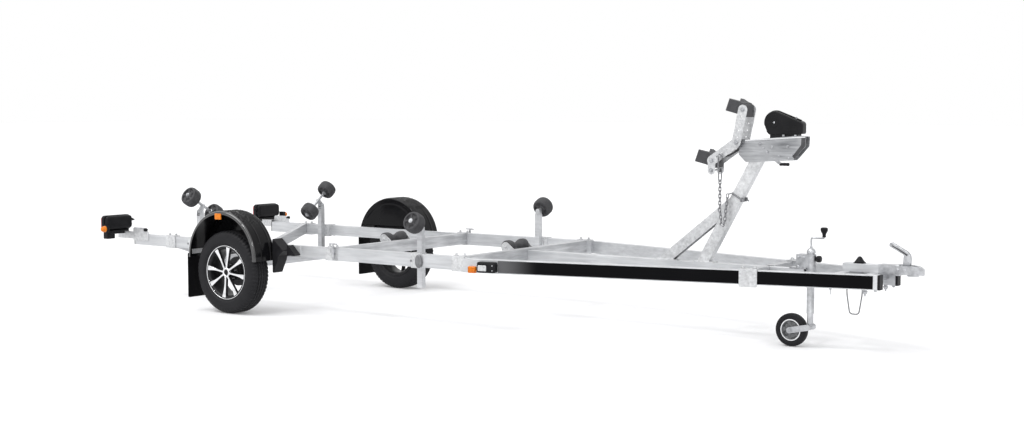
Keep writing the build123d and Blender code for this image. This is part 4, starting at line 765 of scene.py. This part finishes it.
(x0, x1), (y0, y1), (z0, z1) = lamp["tailX"], lamp["tailY"], lamp["tailZ"]
span, middleZ, bx = (y1 - y0, z1 - z0), (z0 + z1) / 2, lamp["bracketX"]
for word, side in sides:
    middleY = side * (y0 + y1) / 2
    housing = [pillow(box((middleY, middleZ), span, 0.03, 5), 0, x0, x0 + 0.034, 0.006, both=True),
        pillow(box((middleY, middleZ + 0.004), (span[0] - 0.01, span[1] - 0.018), 0.028, 5), 0, x0 + 0.03,
        x1, lamp["tailSoft"], 6, True),
        slab(box(((x0 + x1) / 2 + 0.002, middleY), (0.058, span[0] - 0.004), 0.012), 2, z0 + 0.046, z0 + 0.052),
        pillow(box((side * 0.9605, lamp["markerAt"][2]), (0.0289, 0.05), 0.006), 0, -1.377, -1.3292, 0.003,
        both=True),
        pillow(box((-1.402, side * 0.892), (0.052, 0.076), 0.008), 2, 0.5245, 0.461, 0.006, 3),
        pillow(box((-1.395, side * 0.815), (0.05, 0.19), 0.008), 2, 0.5245, 0.497, 0.004, 3),
        rod((bx, side * 0.69, 0.6), (bx, side * 0.668, 0.6), 0.011, 18),
        rod((bx, side * 0.672, 0.6), (bx, side * 0.652, 0.596), 0.0065, 14)]
    addPiece("tailLamp" + word, housing, "mouldedBlack", "tail_lamps")
    lens = [pillow(box((middleY, middleZ), lamp["lensSize"], 0.018, 5), 0, *lamp["lensX"], 0.005)]
    lens += [slab(box((side * y, middleZ), (0.0028, 0.084), 0.001), 0, lamp["lensX"][1] - 0.0001, -1.44)
        for y in np.linspace(*lamp["lensRibs"])]
    addPiece("tailLens" + word, lens, "redLens", "tail_lenses")
    rings = [(0, 0), *((along, lamp["markerRadius"] - less) for along, less in lamp["markerRings"]), (0.0338, 0)]
    (rx, rz), (yIn, yOut) = lamp["reflectorAt"], lamp["reflectorY"]
    amber = [lathe(rings, lamp["markerAt"] * np.array((1, side, 1)), (0, side, 0), 30),
        pillow(box((rx, rz), (0.061, 0.043), 0.006), 1, side * yIn, side * yOut, 0.003)]
    amber += [slab(box((rx + k * 0.0075, rz), (0.0022, 0.034)), 1, side * 1.044, side * 1.04795) for k in range(-3, 4)]
    place, along, outward = onBeam(lamp["amberAt"], side)
    facing = [pillow(box((0, lamp["amberZ"]), lamp["amberSize"], 0.008), 1, 0.0008, lamp["amberDepth"], 0.009, 6)]
    facing += [slab(box((k * 0.0085, lamp["amberZ"]), (0.0026, 0.034)), 1, 0.01, lamp["amberDepth"] + 0.0008)
        for k in range(-2, 3)]
    amber.append(turned(gather(*facing), place, along, outward))
    addPiece("sideMarkers" + word, amber, "amberLens", "side_markers")
    place, along, outward = onBeam(lamp["frontAt"], side)
    deep, high = lamp["frontDepth"], lamp["frontZ"]
    front = gather(pillow(box((0, high), lamp["frontSize"], 0.014, 5), 1, 0.0008, deep, 0.008, 5),
        pillow(box((0.006, high + 0.004), (0.11, 0.046), 0.012, 4), 1, 0.02, deep + 0.0045, 0.005))
    addPiece("frontLamp" + word, turned(front, place, along, outward), "mouldedBlack", "front_lamps")
    glass = pillow(box(lamp["glassAt"], lamp["glassSize"], 0.007, 4), 1, 0.024, deep + 0.0072, 0.004)
    addPiece("frontLens" + word, turned(glass, place, along, outward), "clearLens")
    screws = [turned(dome((0.044, deep + 0.004, high + z), (0, 1, 0), 0.0042, 0.002, 12), place, along, outward)
        for z in (0.013, -0.019)]
    screws += [bolt((-1.396, side * y, 0.5205), (0, 0, -1), 0.0065, 0.006, 0.004) for y in (0.745, 0.887)]
    addPiece("lampScrews" + word, screws, "zincSteel")
# a plate clamps the V-beam to the cross beam inside it
for word, side in sides:
    place, along, outward = onBeam(lamp["plateAt"], side)
    plate = gather(slab(box((0, lamp["plateZ"]), lamp["plateSize"], 0.005), 1, 0.0034, 0.0092),
        slab(box((0, -0.024), (0.112, 0.066), 0.003), 2, 0.4984, 0.504))
    bolts = [bolt(place + way * lamp["plateBolts"] * along - 0.016 * outward + (0, 0, 0.5038), (0, 0, 1), 0.0115,
        0.01, 0.004) for way in ways]
    addPiece("veePlate" + word, [turned(plate, place, along, outward), *bolts], "galvanised", bevel=0.0008)
print("lamps done")


# winch head, cover, strap and bow support

winch = {
    "head": (3.6949, 1.15), "cover": (3.816, 1.387), "coverRadius": 0.071, "coverHalf": 0.0318,
    "coverArc": (68.6, 195.2, 40), "reel": (3.8, 1.235, 0.04), "armY": 0.0623, "strapHalf": 0.024,
    "foot": ((-0.06, -0.05), (-0.035, -0.077), (0.19, -0.069), (0.19, -0.012), (0.184, 0.004)),
    "neck": ((0.092, 0.132), (0.278, 0.15), (0.278, 0.189), (0.092, 0.189)),
    "headBolts": ((3.721, 1.253, 0.0085), (3.77, 1.204, 0.0085), (3.91, 1.239, 0.007), (3.941, 1.191, 0.0055),
        (3.917, 1.168, 0.0055), (3.85, 1.18, 0.005), (3.745, 1.228, 0.005)),
    "flange": ((0.262, 0.016), (0.331, 0.092), (0.334, 0.145), (0.306, 0.146), (0.304, 0.1), (0.246, 0.03)),
    "lever": ((0.1, 0.022), (0.116, 0.026), (0.168, -0.006), (0.168, -0.02), (0.154, -0.021)),
    "grip": ((0, 0), (0, 0.0085), (0.004, 0.01), (0.02, 0.0092), (0.03, 0.01), (0.046, 0.0094),
        (0.058, 0.0104), (0.063, 0.008), (0.064, 0)),
    "strap": ((3.8, 1.2745), (3.588, 1.24), (3.532, 1.197), (3.4735, 1.168)), "pin": (3.4669, 1.176),
    # both arms' pivot, the upper and the lower pad and the lug
    "armBolts": ((3.5709, 1.261), (3.6139, 1.466), (3.3989, 1.144), (3.3969, 1.081)),
}
hx, hz = winch["head"]
cx, cz = winch["cover"]
wide = winch["coverHalf"]


def flatPath(places):
    # (x, z) places as a path in the trailer's middle plane
    return np.insert(np.array(places), 1, 0.0, 1)


arc = np.radians(np.linspace(*winch["coverArc"]))
coverTop = winch["coverRadius"] * np.stack([np.cos(arc), np.sin(arc)], 1)
foot = softOutline(winch["foot"], 0.012, 4)[:-5]
coverLoop = np.vstack([coverTop, foot, [(0.1835, 0.002), (0.178, 0.0063)]]) + (cx, cz)
band = np.vstack([[(0.17, 0.0135)], coverTop * (1 + 0.001 / winch["coverRadius"]),
    [(-0.0705, -0.03), (-0.061, -0.049)]]) + (cx, cz)
bandSection = box((0, 0.00025), (0.008, 0.0065))[:, ::-1]
cover = [pillow(coverLoop, 1, -wide, wide, 0.008, 5, True), carried(flatPath(band), bandSection),
    slab(np.array(winch["neck"]) + (hx, hz), 1, -0.0272, 0.0272)]
addPiece("winchCover", cover, "satinBlack", "winch_cover")
ringSection = [(0, 0), (0, 0.03), (0.0016, 0.029), (0.0016, 0.024), (0.0006, 0.023), (0.0006, 0)]
rings = [lathe(ringSection, (cx, 0.0004 - wide, cz), (0, -1, 0), 40),
    pillow(box((cx + 0.11, cz - 0.038), (0.09, 0.03), 0.006), 1, 0.001 - wide, -wide - 0.0016, 0.001, 2)]
addPiece("coverRings", rings, "satinBlack")
dots = [bolt((3.95, 0, 1.4125), (0.37, 0, 0.93), 0.0065, 0.006, 0.003)]
dots += [dome((cx, side * (wide + 0.0006), cz), (0, side, 0), 0.0068, 0.004) for side in ways]
dots += [shape for x in (3.88, 3.96) for side in ways
    for shape in (slab(box((x, 1.3075), (0.016, 0.012), 0.002), 1, side * 0.0306, side * 0.0335),
    dome((x, side * 0.0333, 1.3075), (0, side, 0), 0.0042, 0.002, 12))]
addPiece("coverScrews", dots, "zincSteel")
bolts = [bolt((x, side * 0.0303, z), (0, side, 0), r, r * 0.7, 0.002)
    for x, z, r in winch["headBolts"] for side in ways]
addPiece("headBolts", bolts, "zincSteel")
lipSection = box((0.0005, 0), (0.0026, 0.007))
lips = [carried([(hx - 0.106, side * 0.0312, hz + 0.1225), (hx + 0.33, side * 0.0312, hz + 0.15)],
    lipSection * (side, 1), (0, 0, 1)) for side in ways]
addPiece("headLips", lips, "polishedAlloy")
flange = [slab(np.array(winch["flange"]) + (hx, hz), 1, side * 0.0304, side * 0.0322) for side in ways]
addPiece("headFlange", flange, "drumIron")
rx, rz, radius = winch["reel"]
rim, hollow = radius + 0.006, radius - 0.004
spool = [(-0.0262, 0.01), (-0.0262, rim), (-0.0246, rim), (-0.0246, hollow), (0.0246, hollow), (0.0246, rim),
    (0.0262, rim), (0.0262, 0.01)]
reel = [lathe(spool, (rx, 0, rz), (0, 1, 0), 36), rod((rx, -0.0345, rz), (rx, 0.0345, rz), 0.0102, 20)]
addPiece("strapReel", reel, "zincSteel")
px, pz = winch["pin"]
half, bend = winch["strapHalf"], np.radians(np.linspace(120, -150, 14))
webSection = box((0, 0), (2 * half, 0.0024))[:, ::-1]
eye = np.stack([px + 0.0078 * np.cos(bend), 0 * bend, pz + 0.0078 * np.sin(bend)], 1)
wound = [(-0.0244, 0.03), (-0.0244, radius), (0.0244, radius), (0.0244, 0.03)]
webbed = [carried(softPath(flatPath(winch["strap"]), 0.05, 8), webSection), carried(eye, webSection),
    lathe(wound, (rx, 0, rz), (0, 1, 0), 40)]
addPiece("winchStrap", webbed, "webbing")
lever = slab(softOutline(np.array(winch["lever"]) + (hx, hz), 0.004), 1, -0.0333, -0.0276)
addPiece("winchLever", lever, "zincSteel", "winch_lever", bevel=0.0008)
addPiece("leverGrip", lathe(winch["grip"], (hx + 0.16, -0.0245, hz - 0.02), (1, 0, 0), 24), "mouldedBlack")
bolts = [bolt((x, side * winch["armY"], z), (0, side, 0), 0.0105, 0.009, 0.003)
    for x, z in winch["armBolts"] for side in ways]
addPiece("armBolts", [*bolts, rod((px, -0.087, pz), (px, 0.066, pz), 0.0059)], "zincSteel")
print("winch and bow support done")


# snap hook, shackle and chain

chain = {
    "y": -0.0735, "gap": 0.0001, "hook": (0.109, 0.036, 0.008), "shackle": (0.088, 0.046, 0.008), "links": 9,
    "link": (0.036, 0.022, 0.006), "pitch": 0.0245, "end": (3.511, -0.052, 0.934), "hoopAt": (3.5655, 0, 0.92),
    "hoopLean": math.radians(60.6), "hoopSize": (0.04, 0.0415, 0.0315),
    "barrel": ((-0.012, 0), (-0.012, 0.0075), (-0.008, 0.0095), (0.008, 0.0095), (0.012, 0.0075), (0.012, 0)),
}
cy = chain["y"]
hang, upperHole, upperWire = pz + 0.0063, 0.0, 0.0
parts, centres = [], []
for k, (long, broad, wire) in enumerate((chain["hook"], chain["shackle"]) + (chain["link"],) * chain["links"]):
    # round wires cross in round holes: each ring hangs lower by hole - sqrt(hole^2 - (wire / 2)^2) on both sides
    hole = broad / 2 - wire
    rise = hole - math.sqrt(hole ** 2 - (upperWire / 2) ** 2)
    if upperHole:
        rise += upperHole - math.sqrt(upperHole ** 2 - (wire / 2) ** 2) + chain["gap"]
    z = hang + rise + wire - long / 2
    centres.append(z)
    parts.append(link((px, cy, z), long, broad, wire, (0, 0, 1), (0, 1, 0) if k % 2 else (1, 0, 0)))
    hang, upperHole, upperWire = z - long / 2 + wire, hole, wire
parts.append(rod((px, cy - 0.029, centres[1] + 0.03), (px, cy + 0.022, centres[1] + 0.03), 0.0045))
# the rest of the chain goes on down and comes back up to the hoop on the post
sag = softPath([(px + 0.004, cy, centres[-1] - 0.01), (px + 0.014, cy, 0.738), (px + 0.032, cy + 0.002, 0.742),
    chain["end"]], 0.03, 8)
reach = np.concatenate([[0], np.cumsum(np.linalg.norm(np.diff(sag, axis=0), axis=1))])
count = int(round(reach[-1] / chain["pitch"]))
places = np.stack([np.interp(np.linspace(0, reach[-1], 2 * count + 1), reach, sag[:, k]) for k in range(3)], 1)
for k in range(count):
    drop = unit(places[2 * k + 2] - places[2 * k])
    square = unit(np.cross(drop, (0, 1, 0)))
    parts.append(link(places[2 * k + 1], *chain["link"], drop, square if k % 2 else np.cross(drop, square)))
addPiece("safetyChain", parts, "chainSteel", "safety_chain")
gate = [rod((px + 0.014, cy, centres[0] + 0.026), (px + 0.0145, cy, centres[0] - 0.03), 0.0052),
    lathe(chain["barrel"], (px, cy, centres[0] - 0.05), (0, 0, 1), 18)]
addPiece("hookGate", gate, "drumIron")
tilt, (ahead, back, out), hoopAt = chain["hoopLean"], chain["hoopSize"], np.array(chain["hoopAt"])
lean, square = np.array((math.cos(tilt), 0, math.sin(tilt))), np.array((math.sin(tilt), 0, -math.cos(tilt)))
corners = (ahead, out), (-back, out), (-back, -out), (ahead, -out)
hoop = softPath([hoopAt + a * square + (0, b, 0) for a, b in corners], 0.012, 5)
bolts = [bolt(hoopAt + 0.038 * square + (0, y, 0), square, 0.01, 0.008, 0.012) for y in (-out, out)]
eye = [carried(hoop, circle(0.0056, 10), lean), *bolts,
    rod(hoopAt - back * square + (0, -0.03, 0), np.array(chain["end"]) + (0, 0.004, 0), 0.0042),
    turned(slab(box((0, 0), (0.084, 0.026), 0.004), 1, 0.0372, 0.04), hoopAt, (0, 1, 0), square)]
addPiece("postHoop", eye, "chainSteel")
print("chain done")


# coupling, plug holder and stirrup

coupling = {
    "ball": (4.715, 0.545), "handleHalf": 0.0127, "boltX": (4.675, 4.635), "boltZ": 0.523,
    "handle": ((-0.062, 0.0045), (-0.016, 0.0045), (-0.012, 0.038), (-0.018, 0.068), (-0.036, 0.088), (-0.08, 0.11),
        (-0.13, 0.1385), (-0.145, 0.133), (-0.149, 0.115), (-0.08, 0.079), (-0.056, 0.066), (-0.06, 0.034)),
    "inset": ((-0.036, 0.06), (-0.03, 0.07), (-0.082, 0.098), (-0.128, 0.121), (-0.132, 0.116), (-0.082, 0.089)),
    "pivot": ((-0.015, 0), (-0.015, 0.008), (-0.0128, 0.0095), (0.0128, 0.0095), (0.015, 0.008), (0.015, 0)),
    "mouth": ((0, 0.026), (0, 0.0345), (0.014, 0.035), (0.016, 0.0262)),
    "rib": ((4.64, 0.5495), (4.7, 0.5525), (4.738, 0.5505), (4.764, 0.54)),
    "ribSection": ((-0.002, -0.01), (0.0018, -0.007), (0.0018, 0.007), (-0.002, 0.01)),
    "plugX": 4.379, "plug": ((0.004, 0), (0.004, 0.031), (0.011, 0.031), (0.013, 0.0275), (0.032, 0.015),
        (0.039, 0.01), (0.0415, 0.004), (0.0418, 0)),
    "stirrupAt": (4.349, 0.445), "wire": 0.0039, "stirrup": ((-0.049, -0.003), (-0.049, -0.09), (-0.029, -0.212),
        (0.029, -0.212), (0.049, -0.09), (0.049, -0.003)),
}
bx, bz = coupling["ball"]
thin = coupling["handleHalf"]
bent = softOutline(coupling["handle"], 0.009, 4) + (bx, bz)
inset = softOutline(coupling["inset"], 0.004, 3) + (bx, bz)
handle = [pillow(bent, 1, -thin, thin, 0.0035, 3, True),
    lathe(coupling["pivot"], (bx - 0.034, 0, bz + 0.022), (0, 1, 0), 22)]
addPiece("couplingHandle", handle, "zincSteel", "coupling_handle")
insets = [slab(inset, 1, side * (thin - 0.002), side * (thin + 0.0003)) for side in ways]
addPiece("handleInset", insets, "drumIron")
parts = [bolt((x, side * 0.0355, coupling["boltZ"]), (0, side, 0), 0.0095, 0.007, 0.003)
    for x in coupling["boltX"] for side in ways]
parts += [lathe(coupling["mouth"], (bx, 0, 0.4872), (0, 0, 1), 40),
    rod((4.768, -0.0165, 0.508), (4.768, 0.0165, 0.508), 0.005),
    carried(softPath(flatPath(coupling["rib"]), 0.02), softOutline(coupling["ribSection"], 0.002))]
addPiece("couplingFittings", parts, "zincSteel")
plug = [slab(box((coupling["plugX"], 0), (0.061, 0.056), 0.007), 2, bz + 0.0002, bz + 0.006),
    lathe(coupling["plug"], (coupling["plugX"], 0, bz), (0, 0, 1), 36)]
addPiece("plugHolder", plug, "mouldedBlack", "plug_holder")
sx, sz = coupling["stirrupAt"]
bolts = [bolt((x, y, sz - 0.0058), (0, 0, -1), 0.008, 0.007, 0.004) for x in (4.306, 4.486) for y in (-0.018, 0.018)]
wirePath = softPath(flatPath(coupling["stirrup"]) + (sx, 0, sz), 0.02, 7)
stirrup = [carried(wirePath, circle(coupling["wire"])),
    slab(box((4.396, 0), (0.23, 0.06), 0.006), 2, sz - 0.006, sz - 0.0002), *bolts]
addPiece("cableStirrup", stirrup, "chainSteel", "cable_stirrup")
print("coupling done")


# jockey wheel

jockey = {
    "x": 4.062, "crankZ": 0.683, "crank": 0.084, "hub": (3.94, 0.104), "spokes": 5, "lobes": 12, "lobeDepth": 0.1,
    "tube": ((0.215, 0.0194), (0.215, 0.0225), (0.217, 0.024), (0.224, 0.024), (0.226, 0.0234), (0.56, 0.0234),
        (0.563, 0.024), (0.592, 0.024), (0.592, 0.0194)),
    "head": ((0.588, 0), (0.588, 0.0278), (0.597, 0.0278), (0.604, 0.0262), (0.611, 0.0215), (0.617, 0.015),
        (0.62, 0.0085), (0.628, 0.008), (0.628, 0)),
    "knob": ((0.6895, 0), (0.6895, 0.0095), (0.692, 0.0115), (0.7, 0.0105), (0.712, 0.0125), (0.722, 0.0185),
        (0.731, 0.0222), (0.74, 0.0228), (0.747, 0.0205), (0.7498, 0.014), (0.7498, 0)),
    "clampKnob": ((0, 0), (0, 0.013), (0.006, 0.014), (0.009, 0.0205), (0.026, 0.021), (0.031, 0.019),
        (0.0338, 0.015), (0.0338, 0)),
    "leg": ((0.1502, 0), (0.1502, 0.0175), (0.152, 0.019), (0.478, 0.019), (0.48, 0.0175), (0.48, 0)),
    "clampBolts": ((3.995, 0.5045), (3.995, 0.5625), (4.03, 0.5625)),
    "flank": ((0.0275, 0.094), (0.0295, 0.087), (0.03, 0.081), (0.029, 0.075), (0.0245, 0.0688), (0.0245, 0.0684)),
    "rim": ((0.0328, 0.0083), (0.0328, 0.02), (0.03, 0.022), (0.015, 0.0225), (0.0135, 0.025), (0.0135, 0.03),
        (0.0135, 0.04), (0.0135, 0.05), (0.0135, 0.054), (0.02, 0.059), (0.0215, 0.063), (0.022, 0.0677)),
    "edge": ((0.0205, 0.06), (0.0222, 0.0612), (0.0228, 0.066), (0.0222, 0.068), (0.0205, 0.068)),
}
jx, hub = jockey["x"], (jockey["hub"][0], 0, jockey["hub"][1])
crankX, crankZ = jx + jockey["crank"], jockey["crankZ"]


def knurled(angle, along, radius):
    # lobes round the knob: the radius falls by lobeDepth between them
    return along, radius * (1 - jockey["lobeDepth"] * (0.5 + 0.5 * np.cos(jockey["lobes"] * angle)) * (radius > 0.016))


def webWave(angle, along, radius):
    # shallow pockets in the wheel's disc
    pocket = pulse(jockey["spokes"] * angle / (2 * np.pi) % 1.0 - 0.5, 0.3, 6)
    return along - np.sign(along) * 0.0085 * pocket * (radius > 0.026) * (radius < 0.052), radius


crankPath = softPath([(jx, 0, 0.616), (jx, 0, crankZ), (crankX, 0, crankZ), (crankX, 0, 0.7)], 0.012, 6)
tube = [lathe(jockey["tube"], (jx, 0, 0), (0, 0, 1), 40), lathe(jockey["head"], (jx, 0, 0), (0, 0, 1), 40),
    carried(crankPath, circle(0.0058))]
addPiece("jockeyTube", tube, "zincSteel", "jockey_tube")
knobs = [lathe(jockey["knob"], (crankX, 0, 0), (0, 0, 1), 36),
    lathe(jockey["clampKnob"], (jx + 0.0332, 0, 0.554), (1, 0, 0), 96, knurled)]
addPiece("jockeyKnobs", knobs, "mouldedBlack", "crank_knob")
addPiece("jockeyLeg", lathe(jockey["leg"], (jx, 0, 0), (0, 0, 1), 40), "zincSteel", "jockey_leg")
bolts = [bolt((hub[0], side * 0.0418, hub[2]), (0, side, 0), 0.0105, 0.004, 0.001) for side in ways]
addPiece("jockeyBolts", bolts, "zincSteel", body=bodyOfNode["jockey_fork"])
bolts = [rod((4.03, 0, 0.554), (4.0955, 0, 0.554), 0.0072)]
bolts += [bolt((x, side * 0.0352, z), (0, side, 0), 0.008, 0.006, 0.003)
    for x, z in jockey["clampBolts"] for side in ways]
addPiece("clampBolts", bolts, "zincSteel")
t = np.linspace(-1, 1, 41)
groove = 0.0012 * (np.abs(np.sin(1.5 * np.pi * t)) < 0.25)
crown = np.stack([0.024 * t, 0.1036 - 0.0046 * np.abs(t) ** 3 - groove], 1)
addPiece("jockeyTyre", lathe(np.vstack([crown, mirroredLoop(jockey["flank"])]), hub, (0, 1, 0), 90), "tyreRubber",
    "jockey_tyre")
addPiece("jockeyRim", lathe(mirroredLoop(jockey["rim"]), hub, (0, 1, 0), 100, webWave), "rimGrey", "jockey_rim")
rings = [lathe(np.array(jockey["edge"]) * (way, 1), hub, (0, 1, 0), 60) for way in ways]
addPiece("jockeyRimRings", rings, "polishedAlloy", body=bodyOfNode["jockey_rim"])
print("jockey wheel done")


# the nodes that still show take their finish here

nodeFinish = {"beam_trim": "glossTrim", "hub_right": "drumIron", "hub_left": "drumIron"}
shown = [node for node, thing in nodes.items() if not thing.hide_render]
for node in shown:
    nodes[node].data.materials.clear()
    nodes[node].data.materials.append(materials[nodeFinish[node]])
print("nodes carried over:", len(shown))
